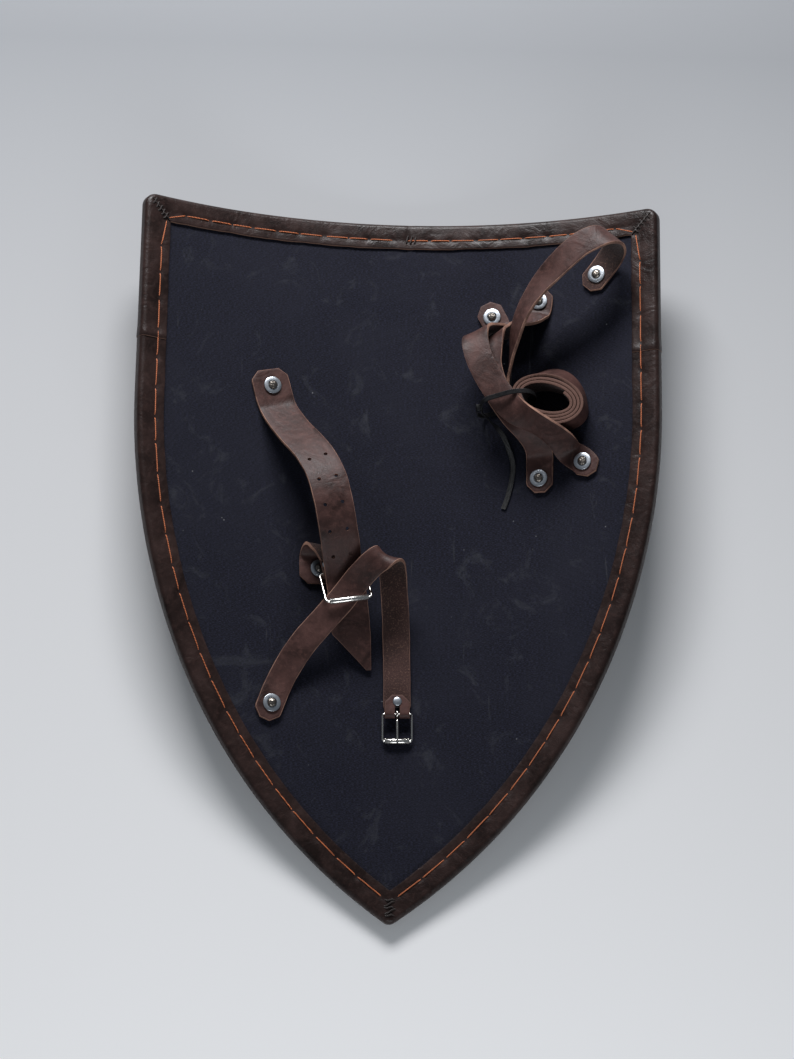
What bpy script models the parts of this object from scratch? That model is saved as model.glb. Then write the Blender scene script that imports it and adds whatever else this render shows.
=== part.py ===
"""A heater shield, lying on its curved front with its inner side up.

X runs across the shield, +Y towards its straight top edge and +Z up out of the inner
face. The lowest point is at Z = 0. Sizes are in metres.

The board is bent round an axis along Y. Board and binding are laid out flat, as
(s, y, w): s round the curve, y along the shield and w towards the inner side from the
board's middle, and then bent. Straps run through points given as (x, y, height over the
inner face), with the way each point's side edge faces.
"""
import math

import bmesh
import bpy
from mathutils import Matrix, Vector

# Board and outline, measured over the leather edge
HEIGHT = 0.700
WIDTH_ROUND_CURVE = 0.527
SHOULDER_DROP = 0.205
INNER_RADIUS = 0.500
BOARD_THICKNESS = 0.009
CORNER_RADIUS = 0.012
TIP_RADIUS = 0.009
TOP_Y = HEIGHT / 2

# Leather edge binding
EDGE_LEATHER = 0.0022
EDGE_REACH = 0.0265
EDGE_ROUNDING = 0.005
JOINT_DROP = 0.147
REST_FLAT_WIDTH = 0.040
BOARD_STRIP = 0.024

# Clearances
GAP = 0.0003
FIT = 0.0004

# Straps, with the unit of their rows of points
ROW_UNIT = 0.001
STRAP_LEATHER = 0.003
WIDE_STRAP = 0.037
NARROW_STRAP = 0.026
END_CHAMFER = 0.008
SPACING = 0.0080
FINE_SPACING = 0.0055
HOLE_RADIUS = 0.0019
HOLE_PAIRS = 5
HOLE_PITCH = 0.0260
HOLE_SPREAD = 0.017
FIRST_HOLE = 0.1235
TAIL_CUT = 0.036
TAIL_BLUNT = 0.005

# Rivets and washers
SHANK_RADIUS = 0.0024
PEEN_RADIUS = 0.0042
PEEN_HEIGHT = 0.0022
HEAD_RADIUS = 0.0072
HEAD_HEIGHT = 0.0024
WASHER_RADIUS = 0.0086
WASHER_THICKNESS = 0.0014
SMALL_SHANK_RADIUS = 0.0012
SMALL_HEAD_RADIUS = 0.0042
SMALL_HEAD_HEIGHT = 0.0010
SMALL_BACK_HEIGHT = 0.0004

# Rivet places on the inner face, x and y, measured down from the top edge
RIVETS = {
    "arm_strap": (-0.123, TOP_Y - 0.1800),
    "arm_buckle_tab": (-0.073, TOP_Y - 0.3610),
    "guige_buckle_strap": (-0.1155, TOP_Y - 0.4960),
    "guige_strap": (0.194, TOP_Y - 0.0640),
    "outer_hand_strap_top": (0.093, TOP_Y - 0.1005),
    "inner_hand_strap_top": (0.1385, TOP_Y - 0.0865),
    "inner_hand_strap_foot": (0.1385, TOP_Y - 0.2690),
    "outer_hand_strap_foot": (0.180, TOP_Y - 0.2550),
}

# Large buckle, its place as x, y and height over the inner face
LARGE_BUCKLE_WIRE = 0.0013
ROLLER_RADIUS = 0.0027
LARGE_BUCKLE_PLACE = (-0.0505, TOP_Y - 0.368, 0.0205)
LARGE_BUCKLE_INSIDE = 0.0415
LARGE_BUCKLE_CORNER = 0.0030
LARGE_BUCKLE_DEPTH = 0.034
LARGE_BUCKLE_TURN = 10.0
LARGE_BUCKLE_RISE = 25.0
PRONG_RADIUS = 0.0011
PRONG_SPREAD = 0.017
SLOT_WIDTH = 0.0046
LARGE_SLOT_LENGTH = 0.016
SMALL_SLOT_LENGTH = 0.018
CUT_DEPTH = 0.012
LARGE_PRONG_SWING = 34.0

# Small buckle
SMALL_BUCKLE_INSIDE = 0.0258
SMALL_BUCKLE_WIRE = 0.0010
SMALL_BUCKLE_END = 0.0238
SMALL_BUCKLE_CORNER = 0.0018
SMALL_BUCKLE_DEPTH = 0.0260
SMALL_BUCKLE_TURN = 1.0
SMALL_PRONG_SWING = -9.6
SMALL_BUCKLE_Y = TOP_Y - 0.5015
SMALL_BUCKLE_X = 0.0045
FLAP_LENGTH = 0.018
FLAP_RIVET = 0.0115
FLAP_SLOPE = 0.12
TAB_RIVET = (0.0145, 0.0080)
TAB_RETURN = 0.020

# Coil of the long strap
COIL_CENTRE = (0.1510, TOP_Y - 0.1965)
COIL_LONG_HALF = 0.0365
COIL_SHORT_HALF = 0.0250
COIL_TURN = -22.0
COIL_TURNS = 3.6
COIL_START = 200.0
COIL_FOOT = 0.0040
COIL_LEAN = 36.0

# Plastic tie
TIE_WIDTH = 0.0048
TIE_THICKNESS = 0.0012
TIE_HEAD = (0.0062, 0.0066, 0.0050)
TIE_HEAD_PLACE = (-0.0146, -0.1038, 0.0335)
TIE_HEAD_SLANT = 14.6

MID_RADIUS = INNER_RADIUS + BOARD_THICKNESS / 2
HALF_STACK = BOARD_THICKNESS / 2 + GAP + EDGE_LEATHER
OUTER_RADIUS = MID_RADIUS + HALF_STACK
AXIS_HEIGHT = math.sqrt(OUTER_RADIUS ** 2 - (REST_FLAT_WIDTH / 2) ** 2)
HALF_WIDTH = WIDTH_ROUND_CURVE / 2
SHOULDER_Y = TOP_Y - SHOULDER_DROP

PARTS = "heater_shield"
CUTTERS = "cutters"


def clear_scene():
    for item in list(bpy.data.objects):
        bpy.data.objects.remove(item, do_unlink=True)
    for name in (PARTS, CUTTERS):
        group = bpy.data.collections.new(name)
        bpy.context.scene.collection.children.link(group)


def material(name, colour, roughness, metallic=0.0):
    found = bpy.data.materials.get(name)
    if found:
        return found
    made = bpy.data.materials.new(name)
    made.use_nodes = True
    shader = made.node_tree.nodes["Principled BSDF"]
    shader.inputs["Base Color"].default_value = (*colour, 1.0)
    shader.inputs["Roughness"].default_value = roughness
    shader.inputs["Metallic"].default_value = metallic
    made.diffuse_color = (*colour, 1.0)
    return made


def canvas():
    return material("black_canvas", (0.012, 0.013, 0.018), 0.85)


def edge_leather():
    return material("edge_leather", (0.032, 0.020, 0.015), 0.45)


def strap_leather():
    return material("strap_leather", (0.075, 0.040, 0.028), 0.5)


def zinc():
    return material("zinc", (0.62, 0.63, 0.62), 0.35, 1.0)


def rivet_steel():
    return material("rivet_steel", (0.42, 0.38, 0.32), 0.4, 1.0)


def nickel():
    return material("nickel", (0.75, 0.74, 0.70), 0.15, 1.0)


def black_nylon():
    return material("black_nylon", (0.01, 0.01, 0.011), 0.5)


def add_object(name, data, finish):
    item = bpy.data.objects.new(name, data)
    bpy.data.collections[PARTS].objects.link(item)
    data.materials.append(finish)
    return item


def mesh_from(bm, name):
    mesh = bpy.data.meshes.new(name)
    bm.to_mesh(mesh)
    bm.free()
    return mesh


def cutter_from(bm, name):
    item = bpy.data.objects.new(name, mesh_from(bm, name))
    bpy.data.collections[CUTTERS].objects.link(item)
    item.hide_render = True
    item.display_type = "WIRE"
    return item


def cut(item, cutter):
    boolean = item.modifiers.new(cutter.name, "BOOLEAN")
    boolean.operation = "DIFFERENCE"
    boolean.object = cutter


def shade(item, angle=35.0):
    item.data.shade_smooth()
    item.data.set_sharp_from_angle(angle=math.radians(angle))


# Places on the curved board

def face_lean(x):
    """Angle of the inner face at x, in radians."""
    return math.asin(x / INNER_RADIUS)


def over_face(x, y, height):
    """A point straight above the inner face."""
    return Vector((x, y, AXIS_HEIGHT - INNER_RADIUS * math.cos(face_lean(x)) + height))


def face_frame(x, y, lift=0.0):
    """Matrix at a place on the inner face: local Z out of the face, local Y along the shield."""
    lean = face_lean(x)
    turn = Matrix.Rotation(-lean, 4, "Y")
    out = turn @ Vector((0.0, 0.0, 1.0))
    return Matrix.Translation(over_face(x, y, 0.0) + out * lift) @ turn


def clear_of_face(width):
    """Height that keeps a flat underside of this width off the hollow face and its facets."""
    across_the_hollow = (width / 2) ** 2 / (2 * INNER_RADIUS)
    across_a_facet = BOARD_STRIP ** 2 / (8 * INNER_RADIUS)
    return GAP + FIT + across_the_hollow + across_a_facet


def rest_height(width, thickness=STRAP_LEATHER):
    """Height of a strap's middle when the strap lies flat across the hollow face."""
    return thickness / 2 + clear_of_face(width)


def bend(mesh):
    """Bends a flat (s, y, w) mesh round the board's axis."""
    for vertex in mesh.vertices:
        s, y, w = vertex.co
        radius = MID_RADIUS - w
        angle = s / MID_RADIUS
        vertex.co = (radius * math.sin(angle), y, AXIS_HEIGHT - radius * math.cos(angle))


# Outline, at any distance inside the leather edge

def side_radius():
    """Radius of the side arcs, which leave the shoulders straight down and meet at the tip."""
    drop = SHOULDER_Y + HEIGHT / 2 + tip_overrun()
    return (HALF_WIDTH ** 2 + drop ** 2) / (2 * HALF_WIDTH)


def tip_overrun():
    """How far the sharp point would stand past the rounded tip."""
    drop = SHOULDER_Y + HEIGHT / 2
    radius = (HALF_WIDTH ** 2 + drop ** 2) / (2 * HALF_WIDTH)
    half_angle = math.asin((radius - HALF_WIDTH) / radius)
    return TIP_RADIUS * (1 / math.cos(half_angle) - 1)


def outline(inset, side_steps=18, straight_steps=5, corner_steps=4, top_steps=12):
    """Right half of the outline from the tip to the top middle, at an inset from the edge."""
    radius = side_radius()
    centre_s = HALF_WIDTH - radius
    points = []
    tip_round = max(TIP_RADIUS - inset, 0.0)
    tip_turn = math.acos(-centre_s / (radius - inset - tip_round))
    tip_centre = SHOULDER_Y - (radius - inset - tip_round) * math.sin(tip_turn)
    for step in range(3):
        angle = -math.pi / 2 + (math.pi / 2 - tip_turn) * step / 3
        points.append((tip_round * math.cos(angle), tip_centre + tip_round * math.sin(angle)))
    points[0] = (0.0, points[0][1])
    for step in range(side_steps + 1):
        angle = -tip_turn * (1 - step / side_steps)
        points.append((centre_s + (radius - inset) * math.cos(angle),
                       SHOULDER_Y + (radius - inset) * math.sin(angle)))
    corner_round = max(CORNER_RADIUS - inset, 0.0)
    corner_s = HALF_WIDTH - inset - corner_round
    corner_y = TOP_Y - inset - corner_round
    joint_y = TOP_Y - JOINT_DROP
    start = SHOULDER_Y
    for step in range(1, straight_steps + 1):
        y = start + (TOP_Y - CORNER_RADIUS - start) * step / straight_steps
        points.append((HALF_WIDTH - inset, min(y, corner_y)))
    nearest = min(range(4, len(points)), key=lambda k: abs(points[k][1] - joint_y))
    points[nearest] = (points[nearest][0], joint_y)
    for step in range(1, corner_steps + 1):
        angle = math.pi / 2 * step / corner_steps
        points.append((corner_s + corner_round * math.cos(angle), corner_y + corner_round * math.sin(angle)))
    for step in range(1, top_steps + 1):
        points.append((corner_s * (1 - step / top_steps), TOP_Y - inset))
    return points, nearest


def board():
    half, _ = outline(EDGE_LEATHER + GAP)
    loop = half + [(-s, y) for s, y in reversed(half[1:-1])]
    bm = bmesh.new()
    verts = [bm.verts.new((s, y, -BOARD_THICKNESS / 2)) for s, y in loop]
    base = bm.faces.new(verts)
    grown = bmesh.ops.extrude_face_region(bm, geom=[base], use_keep_orig=True)
    for vertex in (v for v in grown["geom"] if isinstance(v, bmesh.types.BMVert)):
        vertex.co.z = BOARD_THICKNESS / 2
    count = int(HALF_WIDTH / BOARD_STRIP)
    for index in range(-count, count + 1):
        everything = bm.verts[:] + bm.edges[:] + bm.faces[:]
        bmesh.ops.bisect_plane(bm, geom=everything, plane_co=(index * BOARD_STRIP, 0, 0), plane_no=(1, 0, 0))
    bmesh.ops.recalc_face_normals(bm, faces=bm.faces)
    bmesh.ops.triangulate(bm, faces=bm.faces)
    mesh = mesh_from(bm, "board")
    bend(mesh)
    item = add_object("board", mesh, canvas())
    for cutter in shank_cutters().values():
        cut(item, cutter)
    return item


def binding_profile():
    """Section of the folded leather strip as (inset, w), once round."""
    inner = BOARD_THICKNESS / 2 + GAP
    round_points = []
    for step in range(3):
        angle = math.pi / 2 * step / 2
        round_points.append((EDGE_ROUNDING * (1 - math.sin(angle)),
                             HALF_STACK - EDGE_ROUNDING * (1 - math.cos(angle))))
    outside = [(EDGE_REACH, HALF_STACK)] + round_points
    outside += [(inset, -w) for inset, w in reversed(outside)]
    inside = [(EDGE_REACH, -inner), (EDGE_LEATHER, -inner), (EDGE_LEATHER, inner), (EDGE_REACH, inner)]
    return outside + inside


def sweep_binding(name, first, last, mirrored=(False,), end_gap=GAP / 2):
    """One strip of the binding, from one outline station to another on each side named."""
    profile = binding_profile()
    rows = []
    for inset, w in profile:
        half, _ = outline(inset)
        run = []
        for flip in mirrored:
            part = [(-s if flip else s, y) for s, y in half[first:last + 1]]
            run += part if not run else list(reversed(part))[1:]
        rows.append([(s, y, w) for s, y in run])
    bm = bmesh.new()
    stations = len(rows[0])
    loop = [bm.verts.new(row[0]) for row in rows]
    edges = [bm.edges.new((loop[k], loop[(k + 1) % len(loop)])) for k in range(len(loop))]
    first_loop = loop
    for station in range(1, stations):
        grown = bmesh.ops.extrude_edge_only(bm, edges=edges)
        edges = [e for e in grown["geom"] if isinstance(e, bmesh.types.BMEdge)]
        moved = {}
        for vertex in (v for v in grown["geom"] if isinstance(v, bmesh.types.BMVert)):
            moved[tuple(vertex.co)] = vertex
        loop = [moved[tuple(v.co)] for v in loop]
        for row, vertex in zip(rows, loop):
            vertex.co = row[station]
    bm.faces.new(first_loop)
    bm.faces.new(loop)
    nudge = end_gap
    for vertex in first_loop + loop:
        if abs(vertex.co.x) < 1e-6:
            vertex.co.x += nudge * (-1 if mirrored[0] else 1)
        elif abs(vertex.co.y - (TOP_Y - JOINT_DROP)) < 1e-6:
            vertex.co.y += nudge * (1 if len(mirrored) == 2 else -1)
    bmesh.ops.remove_doubles(bm, verts=bm.verts, dist=1e-6)
    bmesh.ops.recalc_face_normals(bm, faces=bm.faces)
    bmesh.ops.triangulate(bm, faces=bm.faces, quad_method="SHORT_EDGE")
    mesh = mesh_from(bm, name)
    bend(mesh)
    bm = bmesh.new()
    bm.from_mesh(mesh)
    everything = bm.verts[:] + bm.edges[:] + bm.faces[:]
    bmesh.ops.bisect_plane(bm, geom=everything, plane_co=(0, 0, 0), plane_no=(0, 0, -1), clear_outer=True)
    bmesh.ops.holes_fill(bm, edges=[e for e in bm.edges if e.is_boundary])
    bmesh.ops.recalc_face_normals(bm, faces=bm.faces)
    bm.to_mesh(mesh)
    bm.free()
    item = add_object(name, mesh, edge_leather())
    shade(item)
    return item


def binding():
    half, joint = outline(0.0)
    sweep_binding("edge_binding_top", joint, len(half) - 1, (False, True))
    sweep_binding("edge_binding_right", 0, joint, (False,))
    sweep_binding("edge_binding_left", 0, joint, (True,))


# Rivets

def shank_cutters():
    """One cutter for each rivet, made once, for the board and the strap that it passes."""
    made = {}
    for name, (x, y) in RIVETS.items():
        cutter_name = "hole_for_" + name
        found = bpy.data.objects.get(cutter_name)
        if not found:
            bm = bmesh.new()
            bmesh.ops.create_cone(bm, cap_ends=True, segments=12, radius1=SHANK_RADIUS + GAP,
                                  radius2=SHANK_RADIUS + GAP, depth=4 * BOARD_THICKNESS)
            bm.transform(face_frame(x, y))
            found = cutter_from(bm, cutter_name)
        made[name] = found
    return made


def turned(name, profile, frame, finish, closed=False, steps=14):
    """A turned piece: a profile of (radius, height) spun round local Z."""
    bm = bmesh.new()
    verts = [bm.verts.new((radius, 0.0, height)) for radius, height in profile]
    for a, b in zip(verts, verts[1:]):
        bm.edges.new((a, b))
    if closed:
        bm.edges.new((verts[-1], verts[0]))
    item = add_object(name, mesh_from(bm, name), finish)
    screw = item.modifiers.new("spin", "SCREW")
    screw.steps = steps
    screw.render_steps = steps
    screw.use_merge_vertices = True
    screw.merge_threshold = 0.00001
    item.matrix_world = frame
    return item


def dome(radius, height, base, up, steps=2):
    """Arc of a dome from its top to its rim, as (radius, height)."""
    points = []
    for step in range(steps + 1):
        angle = math.pi / 2 * step / steps
        points.append((radius * math.sin(angle), base + up * height * math.cos(angle)))
    return points


def fastening(name, width):
    """Washer and rivet of one strap end."""
    x, y = RIVETS[name]
    frame = face_frame(x, y)
    washer_base = rest_height(width) + STRAP_LEATHER / 2 + GAP
    washer_top = washer_base + WASHER_THICKNESS
    bore = SHANK_RADIUS + GAP
    ring = [(WASHER_RADIUS, washer_top), (WASHER_RADIUS, washer_base), (bore, washer_base), (bore, washer_top)]
    turned("washer_" + name, ring, frame, zinc(), closed=True, steps=12)
    outside = -BOARD_THICKNESS - GAP
    profile = dome(PEEN_RADIUS, PEEN_HEIGHT, washer_top + GAP, 1.0)
    profile += [(SHANK_RADIUS, washer_top + GAP), (SHANK_RADIUS, outside)]
    profile += list(reversed(dome(HEAD_RADIUS, HEAD_HEIGHT, outside, -1.0)))
    turned("rivet_" + name, profile, frame, rivet_steel(), steps=8)


# Straps

def smooth_rows(rows, spacing):
    """Runs a smooth curve through the rows and reads it at an even spacing."""
    dense = []
    last = len(rows) - 1
    for k in range(last):
        before = rows[max(k - 1, 0)]
        start, end = rows[k], rows[k + 1]
        after = rows[min(k + 2, last)]
        for step in range(24):
            t = step / 24
            row = []
            for p0, p1, p2, p3 in zip(before, start, end, after):
                row.append(0.5 * (2 * p1 + (p2 - p0) * t + (2 * p0 - 5 * p1 + 4 * p2 - p3) * t * t
                                  + (3 * p1 - p0 - 3 * p2 + p3) * t ** 3))
            dense.append(row)
    dense.append(list(rows[-1]))
    lengths = [0.0]
    for a, b in zip(dense, dense[1:]):
        lengths.append(lengths[-1] + (Vector(b[:3]) - Vector(a[:3])).length)
    count = max(2, round(lengths[-1] / spacing))
    picked = []
    k = 0
    for index in range(count + 1):
        goal = lengths[-1] * index / count
        while k < len(lengths) - 2 and lengths[k + 1] < goal:
            k += 1
        share = (goal - lengths[k]) / max(lengths[k + 1] - lengths[k], 1e-9)
        picked.append([a + (b - a) * share for a, b in zip(dense[k], dense[k + 1])])
    return picked


def route(rivet, rows, width, spacing=SPACING, thickness=STRAP_LEATHER):
    """Stations (middle, side) of a strap from rows in row units and degrees.

    A row is x and y from the rivet, height over the face, the way the side edge faces
    seen from above, and its lean out of the face. A strap never sinks into the face.
    """
    x0, y0 = RIVETS[rivet]
    rest = rest_height(width, thickness)
    stations = []
    scaled = [[v * ROW_UNIT for v in row[:3]] + list(row[3:]) for row in rows]
    for x, y, height, turn, lean in smooth_rows(scaled, spacing):
        place_x = x0 + x
        level = math.cos(face_lean(place_x))
        middle = over_face(place_x, y0 + y, max(height, rest / level))
        turn, lean = math.radians(turn), math.radians(lean)
        flat = Vector((math.cos(turn), math.sin(turn), 0.0))
        tilt = math.atan(math.tan(face_lean(place_x)) * flat.x) + lean
        side = Vector((flat.x * math.cos(tilt), flat.y * math.cos(tilt), math.sin(tilt)))
        stations.append((middle, side))
    return stations


def square_sides(stations):
    """Turns each side vector square to the way the strap runs."""
    squared = []
    for k, (middle, side) in enumerate(stations):
        ahead = stations[min(k + 1, len(stations) - 1)][0] - stations[max(k - 1, 0)][0]
        along = ahead.normalized()
        squared.append((middle, (side - along * side.dot(along)).normalized()))
    return squared


def strap(name, stations, width, start_chamfer=True, end_chamfer=True, edges=None,
          thickness=STRAP_LEATHER, finish=strap_leather):
    """A leather strap as an open ribbon with thickness, narrowed at its chamfered ends."""
    stations = square_sides(stations)
    lengths = [0.0]
    for a, b in zip(stations, stations[1:]):
        lengths.append(lengths[-1] + (b[0] - a[0]).length)
    total = lengths[-1]
    half = width / 2
    bm = bmesh.new()
    previous = None
    for (middle, side), run in zip(stations, lengths):
        left, right = -half, half
        if start_chamfer and run < END_CHAMFER:
            left += END_CHAMFER - run
            right -= END_CHAMFER - run
        if end_chamfer and total - run < END_CHAMFER:
            left += END_CHAMFER - (total - run)
            right -= END_CHAMFER - (total - run)
        if edges:
            left, right = edges(left, right, total - run)
        if previous is None:
            a = bm.verts.new(middle + side * left)
            b = bm.verts.new(middle + side * right)
            previous = bm.edges.new((a, b))
            continue
        grown = bmesh.ops.extrude_edge_only(bm, edges=[previous])
        previous = next(e for e in grown["geom"] if isinstance(e, bmesh.types.BMEdge)
                        and all(v in grown["geom"] for v in e.verts))
        ends = sorted(previous.verts, key=lambda v: v.index if v.index >= 0 else 0)
        near_left = (ends[0].co - (middle + side * left)).length
        near_right = (ends[0].co - (middle + side * right)).length
        if near_left > near_right:
            ends.reverse()
        ends[0].co = middle + side * left
        ends[1].co = middle + side * right
    bmesh.ops.recalc_face_normals(bm, faces=bm.faces)
    item = add_object(name, mesh_from(bm, name), finish())
    solid = item.modifiers.new("thickness", "SOLIDIFY")
    solid.thickness = thickness
    solid.offset = 0.0
    solid.use_even_offset = True
    return item


def wrap(centre, axis, start, radius, sweep, steps):
    """Stations of a strap bent round a bar: start is the direction from the bar to the first."""
    stations = []
    for step in range(steps + 1):
        turn = Matrix.Rotation(math.radians(sweep) * step / steps, 3, axis)
        stations.append((centre + turn @ start * radius, axis.copy()))
    return stations


def arm_strap():
    wide = WIDE_STRAP
    rows = [(-4, 16, 0, 14, 0), (0, 0, 0, 15, 0), (3.8, -13.5, 0, 17, 0), (9.5, -28, 7.5, 20, -2),
            (22, -49, 23, 26, -5), (41, -76, 45, 29, -5), (54, -102, 59, 24, -2), (62, -131, 62, 15, 0),
            (68, -159, 52, 12, 0), (71.5, -177, 36, 11, 0), (74.3, -192, 27, 10, 0), (76.2, -203, 24.3, 9, 0),
            (78.3, -215, 22.3, 8, 0), (82, -245, 13.5, 5, 0), (84, -280, 3, 4, 0)]
    stations = route("arm_strap", rows, wide)

    def tail(left, right, to_end):
        if to_end < TAIL_CUT:
            left = left + (wide - TAIL_BLUNT) * (1 - to_end / TAIL_CUT)
        return left, right

    item = strap("arm_strap", stations, wide, end_chamfer=False, edges=tail)
    cut(item, shank_cutters()["arm_strap"])
    squared = square_sides(stations)
    run = 0.0
    goals = [FIRST_HOLE + k * HOLE_PITCH for k in range(HOLE_PAIRS)]
    bm = bmesh.new()
    for (a, side), (b, _) in zip(squared, squared[1:]):
        step = (b - a).length
        while goals and goals[0] <= run + step:
            middle = a.lerp(b, (goals.pop(0) - run) / step)
            along = (b - a).normalized()
            out = along.cross(side)
            for across in (-HOLE_SPREAD / 2, HOLE_SPREAD / 2):
                turn = Matrix((side, along, out)).transposed().to_4x4()
                place = Matrix.Translation(middle + side * across) @ turn
                bmesh.ops.create_cone(bm, cap_ends=True, segments=8, radius1=HOLE_RADIUS,
                                      radius2=HOLE_RADIUS, depth=CUT_DEPTH, matrix=place)
        run += step
    bmesh.ops.recalc_face_normals(bm, faces=bm.faces)
    cut(item, cutter_from(bm, "punched_holes"))


def large_buckle_frame():
    """Matrix of the large buckle: X along the bar, Y from bar to roller, Z out of its plane."""
    x, y, height = LARGE_BUCKLE_PLACE
    turn = Matrix.Rotation(math.radians(LARGE_BUCKLE_TURN), 4, "Z")
    rise = Matrix.Rotation(math.radians(-LARGE_BUCKLE_RISE), 4, "X")
    lean = Matrix.Rotation(-face_lean(x), 4, "Y")
    return Matrix.Translation(over_face(x, y, height)) @ lean @ turn @ rise @ Matrix.Rotation(math.pi, 4, "Z")


def wire(name, points, radius, finish, cyclic=False, sides=2):
    curve = bpy.data.curves.new(name, "CURVE")
    curve.dimensions = "3D"
    spline = curve.splines.new("POLY")
    spline.points.add(len(points) - 1)
    for target, point in zip(spline.points, points):
        target.co = (*point, 1.0)
    spline.use_cyclic_u = cyclic
    curve.bevel_depth = radius
    curve.bevel_resolution = sides
    curve.use_fill_caps = not cyclic
    return add_object(name, curve, finish)


def buckle(prefix, frame, inside, depth, wire_radius, corner, prongs, swing):
    """Frame, roller and prongs of a roller buckle; its bar runs along local X through the origin.

    swing is how far the prongs hang down from the frame's plane, in degrees.
    """
    half = inside / 2 + wire_radius
    corners = [(half, 0.0), (half, depth), (-half, depth), (-half, 0.0)]
    points = []
    for k, (cx, cy) in enumerate(corners):
        inward_x = -math.copysign(corner, cx)
        inward_y = corner if cy == 0.0 else -corner
        centre = (cx + inward_x, cy + inward_y)
        start = math.radians((-90, 0, 90, 180)[k])
        for step in range(4):
            angle = start + math.pi / 2 * step / 3
            points.append(frame @ Vector((centre[0] + corner * math.cos(angle),
                                          centre[1] + corner * math.sin(angle), 0.0)))
    wire(prefix + "_frame", points, wire_radius, nickel(), cyclic=True)
    length = inside / 2 - corner + wire_radius - GAP
    bore = wire_radius + GAP
    tube = [(ROLLER_RADIUS, length), (ROLLER_RADIUS, -length), (bore, -length), (bore, length)]
    lying = frame @ Matrix.Translation((0, depth, 0)) @ Matrix.Rotation(math.pi / 2, 4, "Y")
    turned(prefix + "_roller", tube, lying, nickel(), closed=True, steps=12)
    eye = wire_radius + GAP + PRONG_RADIUS
    prong_length = depth + ROLLER_RADIUS
    swing = math.radians(swing)
    for number, across in enumerate(prongs):
        points = []
        for step in range(9):
            angle = math.radians(-75 - 285 * step / 8)
            points.append(Vector((across, eye * math.cos(angle), eye * math.sin(angle))))
        reach = Vector((across, prong_length * math.cos(swing), -prong_length * math.sin(swing)))
        for share in (0.35, 0.7, 1.0):
            points.append(points[8].lerp(reach, share) if share < 1 else reach)
        suffix = "_prong" if len(prongs) == 1 else "_prong_%d" % (number + 1)
        wire(prefix + suffix, [frame @ p for p in points], PRONG_RADIUS, nickel())


def slot_cutter(name, frame, prongs, length):
    bm = bmesh.new()
    for across in prongs:
        place = frame @ Matrix.Translation((across, 0.0, 0.0)) @ Matrix.Diagonal((SLOT_WIDTH, length, CUT_DEPTH, 1))
        bmesh.ops.create_cube(bm, size=1.0, matrix=place)
    bmesh.ops.recalc_face_normals(bm, faces=bm.faces)
    return cutter_from(bm, name)


def small_rivet(name, item, frame, grip):
    """A small two-headed rivet through two layers: local Z out, origin in the middle of the grip."""
    base = grip / 2 + GAP
    profile = dome(SMALL_HEAD_RADIUS, SMALL_HEAD_HEIGHT, base, 1.0)
    profile += [(SMALL_SHANK_RADIUS, base), (SMALL_SHANK_RADIUS, -base)]
    profile += list(reversed(dome(SMALL_HEAD_RADIUS, SMALL_BACK_HEIGHT, -base, -1.0)))
    turned(name, profile, frame, nickel(), steps=8)
    bm = bmesh.new()
    bmesh.ops.create_cone(bm, cap_ends=True, segments=8, radius1=SMALL_SHANK_RADIUS + GAP,
                          radius2=SMALL_SHANK_RADIUS + GAP, depth=2 * grip)
    bm.transform(frame)
    cut(item, cutter_from(bm, "hole_for_" + name))


def square_frame(origin, out, across):
    """Matrix at a point with local Z along out and local X as near across as it can be."""
    out = out.normalized()
    side = (across - out * across.dot(out)).normalized()
    turn = Matrix((side, out.cross(side), out)).transposed().to_4x4()
    return Matrix.Translation(origin) @ turn


def wrap_radius(wire_radius):
    """Radius of a strap's middle where it is folded round a buckle bar."""
    return wire_radius + FIT + STRAP_LEATHER / 2


def arm_buckle_tab():
    """Lies flat past its rivet, folds forward and holds the large buckle's bar."""
    frame = large_buckle_frame()
    axis = (frame.to_3x3() @ Vector((1.0, 0.0, 0.0))).normalized()
    bar = frame.translation
    rows = [(0.5, -15, 0, 178, 0), (0, -2, 0, 180, 0), (-0.2, 9.5, 1.3, 182, -2), (1, 16, 7, 185, -6),
            (4.5, 20, 13, 190, 0), (10.5, 18, 20.6, 190, 0), (17, 12, 23.8, 190, 0)]
    stations = route("arm_buckle_tab", rows, WIDE_STRAP, spacing=FINE_SPACING)
    last = stations[-1][0]
    away = last - bar
    away -= axis * away.dot(axis)
    radius = wrap_radius(LARGE_BUCKLE_WIRE)
    lift = math.degrees(math.acos(radius / away.length))
    start = Matrix.Rotation(math.radians(-lift), 3, axis) @ away.normalized()
    stations += wrap(bar, axis, start, radius, -180.0, 7)
    ending = stations[-1][0]
    along = axis.cross(start)
    for step in range(1, 5):
        stations.append((ending + along * TAB_RETURN / 4 * step, axis.copy()))
    item = strap("arm_buckle_tab", stations, WIDE_STRAP)
    cut(item, shank_cutters()["arm_buckle_tab"])
    prongs = (-PRONG_SPREAD / 2, PRONG_SPREAD / 2)
    cut(item, slot_cutter("large_buckle_slots", frame, prongs, LARGE_SLOT_LENGTH))
    place = bar + axis * TAB_RIVET[0] + along * TAB_RIVET[1]
    small_rivet("small_rivet_tab", item, square_frame(place, start, axis), 2 * radius + STRAP_LEATHER + FIT)


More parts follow.
